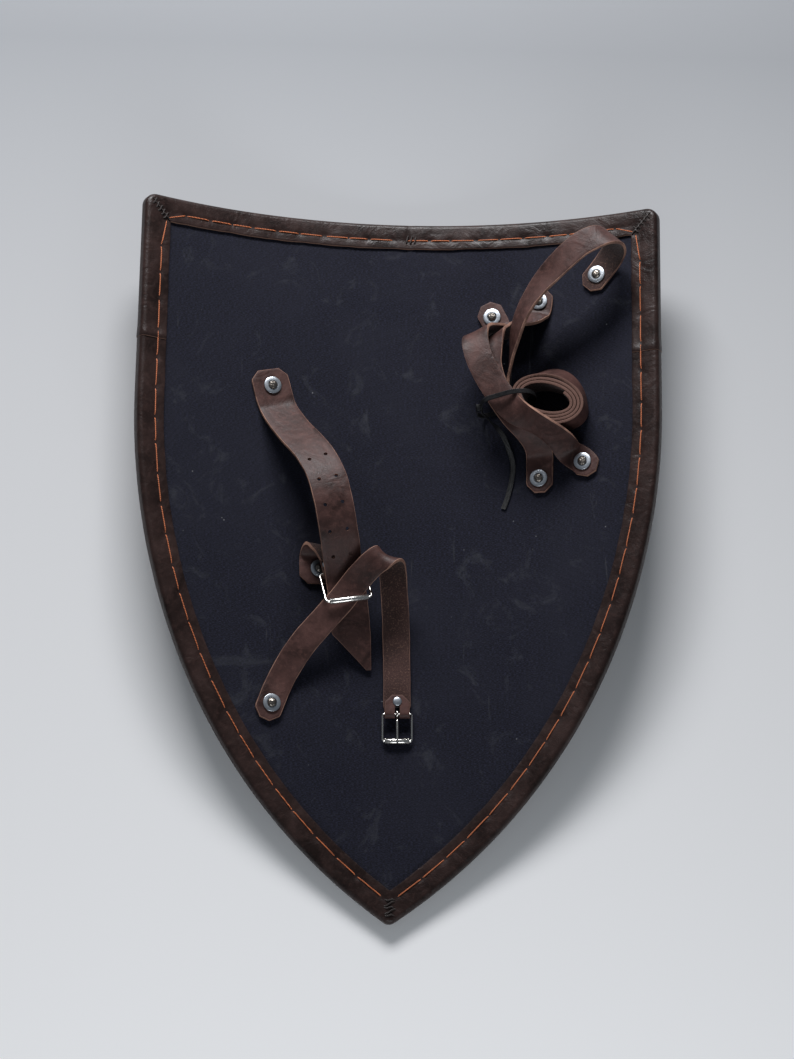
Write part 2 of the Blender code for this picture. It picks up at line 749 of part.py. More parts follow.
def guige_buckle_strap():
    """Runs over the arm strap and under the large roller, loops over and hangs with the small buckle."""
    rows = [(-5.5, -15.5, 0, 160, 0), (0, 0, 0, 160, 0), (4.5, 13, 0.5, 158, 0), (11.5, 29, 5, 153, 0),
            (27.5, 55, 15, 146, 0), (54, 86, 26, 143, 0), (65, 99, 28.4, 143, 0), (73, 109.5, 30.6, 143.5, 0),
            (80, 118, 36.5, 145, 4), (90, 128, 46, 150, 4), (103, 138, 51, 157, 2), (111, 139, 41, 160, 2), (113, 130, 29, 163, 2),
            (114.5, 116, 20, 170, 0), (116.5, 96, 11, 178, 0), (118, 72, 4.5, 181, 0), (119, 40, 3.8, 181, 0),
            (119.5, 15, 3.7, 181, 0)]
    stations = route("guige_buckle_strap", rows, NARROW_STRAP)
    frame = small_buckle_frame()
    bar = frame.translation
    axis = (frame.to_3x3() @ Vector((1.0, 0.0, 0.0))).normalized()
    radius = wrap_radius(SMALL_BUCKLE_WIRE)
    start = -(frame.to_3x3() @ Vector((0.0, 0.0, 1.0)))
    stations += wrap(bar, axis, start, radius, 180.0, 7)
    ending = stations[-1][0]
    back = frame.to_3x3() @ Vector((0.0, -1.0, -FLAP_SLOPE)).normalized()
    for step in (1, 2, 3, 4):
        stations.append((ending + back * FLAP_LENGTH / 4 * step, axis.copy()))

    def trimmed(left, right, to_end):
        limit = SMALL_BUCKLE_END / 2
        reach = FLAP_LENGTH + math.pi * radius + 0.006
        if to_end < reach:
            left, right = max(left, -limit), min(right, limit)
        return left, right

    item = strap("guige_buckle_strap", stations, NARROW_STRAP, edges=trimmed)
    cut(item, shank_cutters()["guige_buckle_strap"])
    cut(item, slot_cutter("small_buckle_slot", frame, (0.0,), SMALL_SLOT_LENGTH))
    up = Vector((0.0, 0.0, 1.0))
    middle = ending + back * FLAP_RIVET - up * radius
    small_rivet("small_rivet_flap", item, square_frame(middle, up, axis), 2 * radius + STRAP_LEATHER + FIT)


def small_buckle_frame():
    """Matrix of the small buckle, which lies on the face: X along the bar, Y from bar to roller."""
    bar_height = rest_height(NARROW_STRAP) + 0.001 + wrap_radius(SMALL_BUCKLE_WIRE)
    roller_height = ROLLER_RADIUS + clear_of_face(SMALL_BUCKLE_INSIDE)
    rise = math.asin((bar_height - roller_height) / SMALL_BUCKLE_DEPTH)
    place = over_face(SMALL_BUCKLE_X, SMALL_BUCKLE_Y, bar_height)
    turn = Matrix.Rotation(math.radians(SMALL_BUCKLE_TURN), 4, "Z")
    rise = Matrix.Rotation(rise, 4, "X")
    return Matrix.Translation(place) @ turn @ rise @ Matrix.Rotation(math.pi, 4, "Z")


def coil_point(turned_by, height):
    """A place on the coil's spiral, turned_by degrees on from its start."""
    shrink = (STRAP_LEATHER + FIT) * turned_by / 360.0
    angle = math.radians(COIL_START + turned_by)
    along = (COIL_LONG_HALF - shrink) * math.cos(angle)
    across = (COIL_SHORT_HALF - shrink) * math.sin(angle)
    slant = math.radians(COIL_TURN)
    x = COIL_CENTRE[0] + along * math.cos(slant) - across * math.sin(slant)
    y = COIL_CENTRE[1] + along * math.sin(slant) + across * math.cos(slant)
    return over_face(x, y, height)


def coil_stations():
    """The coil stands on its edge. The far edge of its first turn leans out at the top."""
    total = COIL_TURNS * 360.0
    steps = int(COIL_TURNS * 26)
    centre = over_face(*COIL_CENTRE, 0.0)
    out = (face_frame(*COIL_CENTRE).to_3x3() @ Vector((0.0, 0.0, 1.0))).normalized()
    stations = []
    for step in range(steps + 1):
        turned_by = total * step / steps
        flat = coil_point(turned_by, 0.0) - centre
        flat -= out * flat.dot(out)
        outward = flat.normalized()
        fade = 1.0 if turned_by < 250.0 else max(0.0, 1.0 - (turned_by - 250.0) / 90.0)
        lean = math.radians(COIL_LEAN * fade * max(outward.y, 0.0))
        side = out * math.cos(lean) - outward * math.sin(lean)
        near_edge = centre + flat + out * (COIL_FOOT + NARROW_STRAP)
        stations.append((near_edge - side * NARROW_STRAP / 2, side))
    return stations


def guige_strap():
    """Loops over from its rivet, dips through the hand straps and is wound into the coil."""
    coil = coil_stations()
    rows = [(-10.7, -12.5, 0, -40, 0), (0, 0, 0, -41, 0), (6, 8, 1, -42, 0), (12, 15.5, 9, -43, 0),
            (14.5, 20, 26, -45, 0), (10, 22, 44, -46, 0), (-3, 20, 57, -46, 0), (-22, 12, 61, -46, 0),
            (-40, -3, 59, -44, 8), (-55, -17, 52, -38, 24), (-67, -33, 48, -28, 36), (-76, -50, 47, -18, 46),
            (-81, -65, 43, -14, 56), (-84.5, -84, 32, -10, 72), (-85.8, -101, 22.5, -5, 82),
            (-86.6, -112, 18.3, -3, 87)]
    stations = route("guige_strap", rows, NARROW_STRAP) + coil
    item = strap("guige_strap", stations, NARROW_STRAP, end_chamfer=False)
    cut(item, shank_cutters()["guige_strap"])


def outer_hand_strap():
    rows = [(-7, 14, 0, 27, 0), (0, 0, 0, 27, 0), (4.3, -9, 0.2, 27, 0), (4, -13, 4, 26, -10),
            (2, -16.5, 10, 26, -6), (-8, -22, 27, 25, 10), (-18, -29, 43, 24, 12),
            (-20, -44, 51, 20, 0), (-15, -63, 53, 20, 0), (-5.5, -82, 52, 26, 0), (5, -98, 50.5, 33, 6),
            (17, -112, 49, 38, 20), (31, -121, 46.5, 38, 38), (45, -128, 40.5, 32, 42),
            (58, -134, 28, 26, 28), (67, -139, 15.5, 22, 8), (71.5, -142.5, 6.8, 22, -8), (76.5, -146.3, 1.2, 23, -2),
            (79.5, -148.6, 0.2, 24, 0), (87, -154.5, 0, 25, 0), (94, -167, 0, 25, 0)]
    stations = route("outer_hand_strap_top", rows, NARROW_STRAP, spacing=FINE_SPACING)
    item = strap("outer_hand_strap", stations, NARROW_STRAP)
    cut(item, shank_cutters()["outer_hand_strap_top"])
    cut(item, shank_cutters()["outer_hand_strap_foot"])


def inner_hand_strap():
    rows = [(1, 13.5, 0, 0, 0), (0, 0, 0, 0, 0), (-1.3, -9.3, 0.7, 2, -2), (-4.5, -14, 5, 6, -10),
            (-9, -19, 9, 14, -6), (-20, -28, 15, 26, 0), (-35, -36, 19.5, 32, 2), (-46, -43, 31, 30, 0),
            (-51, -56, 38, 24, 0), (-52, -76, 39, 16, 0), (-46, -98, 39, 14, 0),
            (-37, -114, 38.5, 16, 0), (-25, -131, 36.5, 18, 0), (-16, -139.5, 32, 16, 0),
            (-8, -147, 23, 11, 0), (-2.5, -153.5, 13, 6, 0), (0, -160, 4, 2, 0), (0, -169, 0.8, 0, 0),
            (0, -182.5, 0, 0, 0), (0, -196.5, 0, 0, 0)]
    stations = route("inner_hand_strap_top", rows, NARROW_STRAP, spacing=FINE_SPACING)
    item = strap("inner_hand_strap", stations, NARROW_STRAP)
    cut(item, shank_cutters()["inner_hand_strap_top"])
    cut(item, shank_cutters()["inner_hand_strap_foot"])


def cable_tie():
    """A black plastic tie round the hand straps and the coil's near turns, its tail hanging below."""
    x0, y0 = RIVETS["outer_hand_strap_top"]
    rows = [(-16, -104, 34, -75, 0), (-16.3, -104, 24, -75, 0), (-13.5, -103.2, 9, -75, 0),
            (-5, -101.2, 2.2, -75, 0), (12, -97, 1.4, -75, 0), (30, -92.5, 1.4, -75, 0), (37, -91, 2, -75, 0),
            (40.5, -90, 8, -75, 0), (40, -90, 22, -75, 0), (34.5, -91.5, 38, -75, 0), (26.5, -93.5, 49, -75, 0),
            (14, -96.5, 57.2, -75, 0), (2, -99.5, 56.8, -75, 0), (-8.5, -101.7, 54.5, -75, 0), (-13, -103, 47, -75, 0),
            (-13.2, -103.4, 40, -75, 0), (-13.2, -103.8, 32, -75, 0), (-12, -105, 24, -65, 0),
            (-3, -111, 14, -45, 0), (8, -121, 8, -20, 0), (15, -135, 4.5, 0, 0), (20, -152, 2.5, 5, 0),
            (19, -168, 2, 12, 0), (15, -186, 1.5, 15, 0), (11, -197, 1.5, 18, 0)]
    stations = route("outer_hand_strap_top", rows, TIE_WIDTH, spacing=FINE_SPACING, thickness=TIE_THICKNESS)
    item = strap("cable_tie", stations, TIE_WIDTH, start_chamfer=False, end_chamfer=False,
                 thickness=TIE_THICKNESS, finish=black_nylon)
    x, y, height = TIE_HEAD_PLACE
    slant = math.radians(TIE_HEAD_SLANT)
    across = Vector((math.cos(slant), math.sin(slant), 0.0))
    place = square_frame(over_face(x0 + x, y0 + y, height), Vector((0.0, 0.0, 1.0)), across)
    bm = bmesh.new()
    bmesh.ops.create_cube(bm, size=1.0, matrix=place @ Matrix.Diagonal((*TIE_HEAD, 1.0)))
    head = cutter_from(bm, "tie_head")
    joined = item.modifiers.new("head", "BOOLEAN")
    joined.operation = "UNION"
    joined.object = head


def assemble():
    clear_scene()
    board()
    binding()
    arm_strap()
    arm_buckle_tab()
    guige_buckle_strap()
    guige_strap()
    outer_hand_strap()
    inner_hand_strap()
    cable_tie()
    prongs = (-PRONG_SPREAD / 2, PRONG_SPREAD / 2)
    buckle("large_buckle", large_buckle_frame(), LARGE_BUCKLE_INSIDE, LARGE_BUCKLE_DEPTH,
           LARGE_BUCKLE_WIRE, LARGE_BUCKLE_CORNER, prongs, LARGE_PRONG_SWING)
    buckle("small_buckle", small_buckle_frame(), SMALL_BUCKLE_INSIDE, SMALL_BUCKLE_DEPTH,
           SMALL_BUCKLE_WIRE, SMALL_BUCKLE_CORNER, (0.0,), SMALL_PRONG_SWING)
    for name in RIVETS:
        fastening(name, WIDE_STRAP if name.startswith("arm") else NARROW_STRAP)


assemble()
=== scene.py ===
"""A heater shield lying inner side up: canvas board, stitched leather edge, straps and buckles.

X runs across the shield, +Y towards its straight top edge and +Z up out of the inner
face. Sizes are in metres. The board and its edge are laid out flat, as (s, y, w), and
then bent round an axis along Y. Straps run through points over the inner face.
"""
import math

import bmesh
import bpy
from mathutils import Matrix, Vector


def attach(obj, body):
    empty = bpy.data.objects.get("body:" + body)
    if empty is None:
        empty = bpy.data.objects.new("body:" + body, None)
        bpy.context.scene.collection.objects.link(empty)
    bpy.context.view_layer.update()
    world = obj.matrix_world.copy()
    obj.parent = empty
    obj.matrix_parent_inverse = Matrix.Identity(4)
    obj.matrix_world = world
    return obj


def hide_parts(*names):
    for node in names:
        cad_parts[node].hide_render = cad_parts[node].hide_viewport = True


bl_info = {
    "name": "Heater Shield",
    "version": (1, 0, 0),
    "blender": (4, 5, 0),
    "location": "View3D > Sidebar > Shield",
    "description": "Builds a curved canvas shield with a stitched leather edge, straps and buckles",
    "category": "Add Mesh",
}

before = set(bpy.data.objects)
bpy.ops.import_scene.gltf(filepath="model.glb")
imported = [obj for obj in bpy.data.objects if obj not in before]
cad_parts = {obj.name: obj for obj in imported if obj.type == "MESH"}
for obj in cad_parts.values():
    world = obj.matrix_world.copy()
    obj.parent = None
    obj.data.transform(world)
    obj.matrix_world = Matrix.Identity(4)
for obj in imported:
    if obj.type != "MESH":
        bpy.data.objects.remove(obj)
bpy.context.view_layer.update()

BODY = "root"

# Board and outline
SHOULDER_DROP = 0.205
CORNER_RADIUS = 0.012
TIP_RADIUS = 0.009
TIP_STEPS = 6
EDGE_ROUNDING = 0.005
JOINT_DROP = 0.147
REST_FLAT_WIDTH = 0.040
BOARD_STRIP = 0.006
GAP = 0.0003
FIT = 0.0004
CAD_STRIP = 0.024

# Straps
END_CHAMFER = 0.008
RAGGEDNESS = 0.00025
ROW_UNIT = 0.001
STRAP_STEP = 0.0025
ACROSS = 8
CUT_ROUNDING = 0.0006
HOLE_RADIUS = 0.0019
HOLE_PAIRS = 5
HOLE_PITCH = 0.0260
HOLE_SPREAD = 0.017
FIRST_HOLE = 0.1235
TAIL_CUT = 0.036
TAIL_BLUNT = 0.005

# Rivets and washers
SHANK_RADIUS = 0.0024
PEEN_RADIUS = 0.0042
PEEN_HEIGHT = 0.0022
PEEN_NECK = 0.0002
HEAD_RADIUS = 0.0072
HEAD_HEIGHT = 0.0024
WASHER_RADIUS = 0.0086
WASHER_THICKNESS = 0.0014
WASHER_DISH = 0.0010
WASHER_LIP = 0.0004
DISH_CLEARANCE = (0.0003, 0.0007)
SMALL_SHANK_RADIUS = 0.0012
SMALL_HEAD_RADIUS = 0.0042
SMALL_HEAD_HEIGHT = 0.0010
SMALL_BACK_HEIGHT = 0.0004
TURNING_STEPS = 48

# Rivet places on the inner face, x and y
RIVETS = {
    "arm_strap": (-0.123, 0.170),
    "arm_buckle_tab": (-0.073, -0.011),
    "guige_buckle_strap": (-0.1155, -0.146),
    "guige_strap": (0.194, 0.286),
    "outer_hand_strap_top": (0.093, 0.2495),
    "inner_hand_strap_top": (0.1385, 0.2635),
    "inner_hand_strap_foot": (0.1385, 0.081),
    "outer_hand_strap_foot": (0.180, 0.095),
}

# Large buckle
LARGE_BUCKLE_WIRE = 0.0013
ROLLER_RADIUS = 0.0027
ROLLER_LIP = 0.0003
LARGE_BUCKLE_PLACE = (-0.0505, -0.018, 0.0205)
LARGE_BUCKLE_INSIDE = 0.0415
LARGE_BUCKLE_CORNER = 0.0030
LARGE_BUCKLE_DEPTH = 0.034
LARGE_BUCKLE_TURN = 10.0
LARGE_BUCKLE_RISE = 25.0
PRONG_RADIUS = 0.0011
PRONG_SPREAD = 0.017
SLOT_WIDTH = 0.0046
LARGE_SLOT_LENGTH = 0.016
SMALL_SLOT_LENGTH = 0.018
CUT_DEPTH = 0.012
LARGE_PRONG_SWING = 34.0

# Small buckle
SMALL_BUCKLE_INSIDE = 0.0258
SMALL_BUCKLE_WIRE = 0.0010
SMALL_BUCKLE_END = 0.0238
SMALL_BUCKLE_CORNER = 0.0018
SMALL_BUCKLE_DEPTH = 0.0260
SMALL_BUCKLE_TURN = 1.0
BAR_LIFT = 0.001
SMALL_PRONG_SWING = -9.6
SMALL_BUCKLE_Y = -0.1515
SMALL_BUCKLE_X = 0.0045
FLAP_LENGTH = 0.018
FLAP_RIVET = 0.0115
FLAP_SLOPE = 0.12
FLAP_NECK = 0.006
TAB_RIVET = (0.0145, 0.0080)
TAB_RETURN = 0.020

# Coil of the long strap
COIL_CENTRE = (0.1510, 0.1535)
COIL_LONG_HALF = 0.0365
COIL_SHORT_HALF = 0.0250
COIL_TURN = -22.0
COIL_TURNS = 3.6
COIL_START = 200.0
COIL_FOOT = 0.0040
COIL_LEAN = 36.0
COIL_STEPS_A_TURN = 60
COIL_LEANS_UNTIL = 250.0
COIL_UPRIGHT_AFTER = 340.0
COIL_DARKENS = 0.27

# Plastic tie
TIE_WIDTH = 0.0048
TIE_THICKNESS = 0.0012
TIE_HEAD = (0.0062, 0.0066, 0.0050)
TIE_HEAD_PLACE = (-0.0146, -0.1038, 0.0335)
TIE_HEAD_ALONG = (1.0, 0.26, 0.0)
TIE_HEAD_ROUNDING = 0.0008

# Stitching
STITCH_INSET = 0.0176
STITCH_LENGTH = 0.0262
STITCH_GAP = 0.0030
TOP_STITCH_LENGTH = 0.0208
THREAD_RADIUS = 0.00056
FIRST_STITCH = 0.010
LAST_STITCH = 0.003
STITCH_CORNER = 0.011
STITCH_DIP = 0.0007
STITCH_RISE = 0.0014
STITCH_SLACK = 0.00025

# Lacing, with insets and steps from one lace to the next
LACE_RADIUS = 0.00085
LACE_BOW = 0.0012
LACE_SUNK = 0.0009
LACE_ARCH = 0.0013
SEAM_THREAD_LIFT = 0.0001
CORNER_SEAM = (0.0255, 0.0039)
CORNER_LACES = (0.0215, 0.0032)
CORNER_LACE_LENGTHS = (0.0105, 0.0080)
CORNER_LACE_SKEWS = (-59, -27)
TIP_LACES = (0.0075, 0.0036)
TIP_LACE_LENGTHS = (0.0095, 0.0110)
TIP_LACE_SLOPES = (-0.2, 0.25)
TIP_LACE_WANDER = 0.0006
TOP_LACES = (0.008, 0.004)
TOP_LACE_DROP = (0.0165, 0.0004)
TOP_LACE_WAY = (0.0021, 0.0060)

# Unevenness of the edge leather
FOLD_SPACING = 0.0016
PUCKER = 0.00042
PUCKER_INSET = 0.0075
PUCKER_WIDTH = 0.0085
JOINT_LIFT = 0.0010
JOINT_LIFT_REACH = 0.007
JOINT_OVERLAP = 0.0022
CREASE_PLACE = 0.011
CREASE_DEPTH = 0.0009
CREASE_WIDTH = 0.0028
DENTED_INSET = 0.010
DENT_WIDTH = 0.0034
FURROW_DEPTH = 0.00030
FURROW_WIDTH = 0.0022
WAVY_CUT = 0.0006
EDGE_CUT_ROUNDING = 0.0005
CORNER_ZONE = 0.04
UPPER_HOLES = 0.18

# Camera of the photo
EYE = (-0.1026, -0.7653, 2.7027)
CAMERA_TURN = (16.513, -2.134, 1.478)
LENS = 98.67
SENSOR = 36.0


def sizes():
    return bpy.context.scene.shield_sizes


def colours():
    return bpy.context.scene.shield_colours


def mid_radius():
    return sizes().inner_radius + sizes().board_thickness / 2


def half_stack():
    return sizes().board_thickness / 2 + GAP + sizes().edge_leather


def axis_height():
    outer_radius = mid_radius() + half_stack()
    return math.sqrt(outer_radius ** 2 - (REST_FLAT_WIDTH / 2) ** 2)


def ripple(run, seed):
    """A smooth uneven line between about -1 and 1, with waves 20 to 110 mm long."""
    waves = ((57.0, 0.42), (121.0, 0.30), (203.0, 0.18), (311.0, 0.10))
    return sum(share * math.sin(run * rate + seed * (k + 1.7) * 2.13)
               for k, (rate, share) in enumerate(waves))


def runs_along(points):
    """The length of a line from its start to each of its points."""
    runs = [0.0]
    for a, b in zip(points, points[1:]):
        runs.append(runs[-1] + math.dist(a, b))
    return runs


def arc(centre, radius, start, sweep, steps):
    """Flat points round a centre, both ends included, with angles in radians."""
    angles = [start + sweep * step / steps for step in range(steps + 1)]
    return [(centre[0] + radius * math.cos(a), centre[1] + radius * math.sin(a)) for a in angles]


# Materials

class Finish:
    """A Principled material under construction, with short names for its nodes."""

    def __init__(self, name, colour, roughness, metallic=0.0):
        self.material = bpy.data.materials.new(name)
        self.material.use_nodes = True
        self.material.diffuse_color = (*colour, 1.0)
        self.tree = self.material.node_tree
        self.shader = self.tree.nodes["Principled BSDF"]
        self.base = tuple(colour)
        self.set("Base Color", (*colour, 1.0))
        self.set("Roughness", roughness)
        self.set("Metallic", metallic)

    def set(self, socket, value):
        self.shader.inputs[socket].default_value = value

    def node(self, kind, links=(), **values):
        made = self.tree.nodes.new(kind)
        for key, value in values.items():
            if hasattr(made, key):
                setattr(made, key, value)
            else:
                made.inputs[key.replace("_", " ")].default_value = value
        for socket, source in links:
            self.tree.links.new(source, made.inputs[socket])
        return made

    def place(self, kind="Object", scale=(1.0, 1.0, 1.0)):
        source = self.node("ShaderNodeTexCoord").outputs[kind]
        mapping = self.node("ShaderNodeMapping", [("Vector", source)])
        mapping.inputs["Scale"].default_value = scale
        return mapping.outputs["Vector"]

    def noise(self, place, scale, detail=4.0, roughness=0.55, distortion=0.0):
        made = self.node("ShaderNodeTexNoise", [("Vector", place)], Scale=scale, Detail=detail,
                         Roughness=roughness, Distortion=distortion)
        return made.outputs["Fac"]

    def wave(self, place, scale, direction, **values):
        made = self.node("ShaderNodeTexWave", [("Vector", place)], bands_direction=direction,
                         Scale=scale, **values)
        return made.outputs["Fac"]

    def cells(self, place, scale):
        return self.node("ShaderNodeTexVoronoi", [("Vector", place)], Scale=scale).outputs["Distance"]

    def step(self, value, low, high, to_low=0.0, to_high=1.0):
        made = self.node("ShaderNodeMapRange", [("Value", value)], From_Min=low, From_Max=high,
                         To_Min=to_low, To_Max=to_high)
        return made.outputs["Result"]

    def put(self, socket, value):
        """Links a socket, or sets it to a number or a colour."""
        if isinstance(value, bpy.types.NodeSocket):
            self.tree.links.new(value, socket)
        elif isinstance(value, (int, float)):
            socket.default_value = value
        else:
            socket.default_value = (*value[:3], 1.0)

    def maths(self, operation, first, second):
        made = self.node("ShaderNodeMath", operation=operation)
        self.put(made.inputs[0], first)
        self.put(made.inputs[1], second)
        return made.outputs["Value"]

    def product(self, first, second):
        return self.maths("MULTIPLY", first, second)

    def mix(self, share, first, second):
        made = self.node("ShaderNodeMix", data_type="RGBA")
        for index, value in ((0, share), (6, first), (7, second)):
            self.put(made.inputs[index], value)
        return made.outputs[2]

    def shades(self, share, low, high):
        """Blends two shades of the base colour, given as factors."""
        return self.mix(share, shade_of(self.base, low), shade_of(self.base, high))

    def bump(self, height, distance, strength=1.0, below=None):
        links = [("Height", height)] + ([("Normal", below)] if below else [])
        return self.node("ShaderNodeBump", links, Distance=distance, Strength=strength).outputs["Normal"]

    def feed(self, socket, source):
        self.tree.links.new(source, self.shader.inputs[socket])

    def colour(self, source):
        self.feed("Base Color", source)

    def relief(self, source):
        self.feed("Normal", source)


def shade_of(colour, factor):
    return tuple(min(1.0, channel * factor) for channel in colour[:3])


def surface(base_colour, roughness, metallic=0.0):
    """Turns a function that dresses a finish into one that gives its material, made once."""
    def decorate(dress):
        def found():
            name = dress.__name__
            if name not in bpy.data.materials:
                made = Finish(name, base_colour(), roughness, metallic)
                dress(made)
            return bpy.data.materials[name]
        return found
    return decorate


@surface(lambda: colours().canvas, 0.8)
def waxed_canvas(made):
    cloth = made.place("UV")
    warp, weft = (made.wave(cloth, 268.0, way, Distortion=2.2, Detail=1.0) for way in "XY")
    weave = made.product(warp, weft)
    thread_shade = made.noise(made.place("UV", (1.0, 4.0, 1.0)), 420.0, 3.0, 0.7)
    cloudy = made.noise(cloth, 9.0, 5.0, 0.6, 0.4)
    worn = made.step(made.noise(cloth, 22.0, 8.0, 0.72, 1.2), 0.56, 0.78)
    scratched = made.noise(made.place("UV", (95.0, 7.0, 1.0)), 1.0, 6.0, 0.7, 0.6)
    streak = made.step(scratched, 0.66, 0.8)
    specks = made.step(made.cells(cloth, 85.0), 0.075, 0.035)
    chosen = made.step(made.noise(cloth, 61.0, 1.0), 0.6, 0.64)
    colour = made.shades(made.step(weave, 0.0, 0.8), 0.45, 1.9)
    colour = made.mix(made.step(thread_shade, 0.46, 0.66, 0.0, 0.9), colour, shade_of(made.base, 5.6))
    colour = made.mix(made.step(cloudy, 0.42, 0.72, 0.0, 0.5), colour, shade_of(made.base, 2.3))
    colour = made.mix(made.product(worn, 0.36), colour, (0.085, 0.09, 0.10))
    colour = made.mix(made.product(streak, 0.42), colour, (0.12, 0.125, 0.13))
    lint = made.product(made.product(specks, chosen), 0.6)
    made.colour(made.mix(lint, colour, (0.28, 0.29, 0.30)))
    made.feed("Roughness", made.step(cloudy, 0.3, 0.8, 0.86, 0.68))
    made.set("Sheen Weight", 0.05)
    made.set("Sheen Roughness", 0.5)
    made.set("Specular IOR Level", 0.17)
    below = made.bump(weave, 0.0004, 0.7)
    made.relief(made.bump(made.noise(cloth, 34.0, 4.0), 0.0012, 0.35, below))


def leather_surface(made, worn, grain_scale, crease, shine):
    """Mottled leather with fine pores, soft creases and places rubbed to the worn colour."""
    place = made.place()
    mottle = made.noise(place, 26.0, 6.0, 0.62, 0.8)
    fine = made.noise(place, 190.0, 5.0, 0.7)
    folds = made.noise(place, crease, 3.0, 0.5, 2.4)
    colour = made.shades(made.step(mottle, 0.34, 0.68), 0.45, 1.45)
    colour = made.mix(made.step(fine, 0.5, 0.74, 0.0, 0.6), colour, shade_of(made.base, 2.2))
    rubbed = made.step(made.noise(place, 58.0, 7.0, 0.75, 1.0), 0.58, 0.74)
    made.colour(made.mix(made.product(rubbed, 0.5), colour, worn))
    made.feed("Roughness", made.step(mottle, 0.25, 0.8, *shine))
    made.set("Specular IOR Level", 0.24)
    below = made.bump(made.cells(place, grain_scale), 0.00022, 0.5)
    below = made.bump(fine, 0.0004, 0.35, below)
    made.relief(made.bump(folds, 0.0016, 0.45, below))


@surface(lambda: colours().edge, 0.45)
def edge_hide(made):
    leather_surface(made, shade_of(made.base, 2.8), 900.0, 42.0, (0.30, 0.50))


# Painted shade: the cut colour is darkened to 0.7 here, so the edge leather's cut edges are a shaded copy
# of the straps' cut finish.
@surface(lambda: shade_of(colours().cut, 0.7), 0.8)
def edge_hide_cut(made):
    place = made.place()
    fibres = made.noise(place, 900.0, 4.0, 0.7)
    made.colour(made.shades(fibres, 0.35, 1.3))
    made.relief(made.bump(fibres, 0.0004))


@surface(lambda: colours().strap, 0.5)
def strap_grain(made):
    leather_surface(made, shade_of(made.base, 2.3), 1100.0, 36.0, (0.40, 0.62))


@surface(lambda: shade_of(colours().strap, 0.75), 0.85)
def strap_flesh(made):
    place = made.place()
    nap = made.noise(place, 620.0, 5.0, 0.75)
    tufts = made.step(made.cells(place, 720.0), 0.32, 0.12, 0.0, 0.5)
    clouds = made.step(made.noise(place, 30.0, 4.0), 0.35, 0.7)
    colour = made.shades(clouds, 0.6, 1.35)
    colour = made.mix(made.step(nap, 0.54, 0.70, 0.0, 0.7), colour, shade_of(colours().cut, 0.6))
    made.colour(made.mix(tufts, colour, shade_of(made.base, 0.3)))
    made.set("Sheen Weight", 0.2)
    made.set("Specular IOR Level", 0.2)
    made.relief(made.bump(nap, 0.0009, 0.9))


@surface(lambda: colours().cut, 0.75)
def strap_cut(made):
    place = made.place()
    fibres = made.noise(place, 800.0, 4.0, 0.7)
    stain = made.step(made.noise(place, 46.0, 5.0, 0.6), 0.38, 0.66)
    colour = made.shades(fibres, 0.45, 1.25)
    along = made.node("ShaderNodeSeparateXYZ", [("Vector", made.place("UV"))]).outputs["Y"]
    handled = made.step(along, COIL_DARKENS, COIL_DARKENS + 0.05, 0.0, 0.8)
    share = made.maths("MAXIMUM", made.product(stain, 0.85), handled)
    dark = made.mix(fibres, shade_of(colours().strap, 0.5), shade_of(colours().strap, 1.7))
    made.colour(made.mix(share, colour, dark))
    made.set("Specular IOR Level", 0.25)
    made.relief(made.bump(fibres, 0.0005))


def twisted_thread(made):
    place = made.place()
    twist = made.wave(place, 330.0, "DIAGONAL")
    wear = made.step(made.noise(place, 160.0, 4.0), 0.5, 0.75, 0.0, 0.5)
    colour = made.shades(twist, 0.55, 1.25)
    made.colour(made.mix(wear, colour, shade_of(made.base, 0.4)))
    made.relief(made.bump(twist, 0.0003))


@surface(lambda: colours().thread, 0.6)
def copper_thread(made):
    twisted_thread(made)


@surface(lambda: (0.020, 0.012, 0.010), 0.5)
def dark_thread(made):
    twisted_thread(made)


@surface(lambda: colours().zinc, 0.32, 1.0)
def zinc_plate(made):
    place = made.place()
    bloom = made.noise(place, 260.0, 5.0, 0.65)
    rub = made.noise(place, 900.0, 4.0, 0.7)
    made.colour(made.shades(made.step(bloom, 0.4, 0.75), 1.0, 0.62))
    made.feed("Roughness", made.step(bloom, 0.3, 0.75, 0.26, 0.5))
    made.relief(made.bump(rub, 0.00012, 0.6))


@surface(lambda: (0.23, 0.205, 0.18), 0.38, 1.0)
def peened_steel(made):
    place = made.place()
    tarnish = made.step(made.noise(place, 420.0, 4.0), 0.42, 0.7)
    made.colour(made.shades(tarnish, 1.25, 0.4))
    made.feed("Roughness", made.step(tarnish, 0.0, 1.0, 0.28, 0.6))
    made.relief(made.bump(made.cells(place, 520.0), 0.0006, 0.8))


@surface(lambda: colours().nickel, 0.12, 1.0)
def nickel_plate(made):
    place = made.place()
    haze = made.noise(place, 340.0, 5.0, 0.65)
    made.colour(made.shades(made.step(haze, 0.5, 0.8), 1.0, 0.8))
    made.feed("Roughness", made.step(haze, 0.35, 0.8, 0.17, 0.36))
    made.relief(made.bump(haze, 0.00006, 0.12))


@surface(lambda: (0.005, 0.005, 0.006), 0.42)
def tie_nylon(made):
    made.set("Specular IOR Level", 0.35)
    made.feed("Roughness", made.step(made.noise(made.place(), 300.0), 0.3, 0.8, 0.34, 0.55))
    made.relief(made.bump(made.wave(made.place("UV"), 262.0, "Y"), 0.0005, 0.8))


@surface(lambda: colours().floor, 0.85)
def studio_paper(made):
    # Painted light falloff: the floor colour is lighter towards -Y and darker towards +Y, painted light
    # and shade on an evenly coloured paper.
    along = made.node("ShaderNodeSeparateXYZ", [("Vector", made.place())]).outputs["Y"]
    painted_light_falloff = made.step(along, -0.5, 0.55)
    made.colour(made.shades(painted_light_falloff, 1.75, 0.48))
    made.set("Specular IOR Level", 0.1)


# Pieces

def linked(name, data):
    item = bpy.data.objects.new(name, data)
    bpy.context.scene.collection.objects.link(item)
    return item


def add_piece(name, data, finishes, nodes=()):
    """A new piece on the shield's one body, standing for the CAD nodes named."""
    item = linked(name, data)
    for finish in finishes:
        data.materials.append(finish())
    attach(item, BODY)
    if nodes:
        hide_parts(*nodes)
    return item


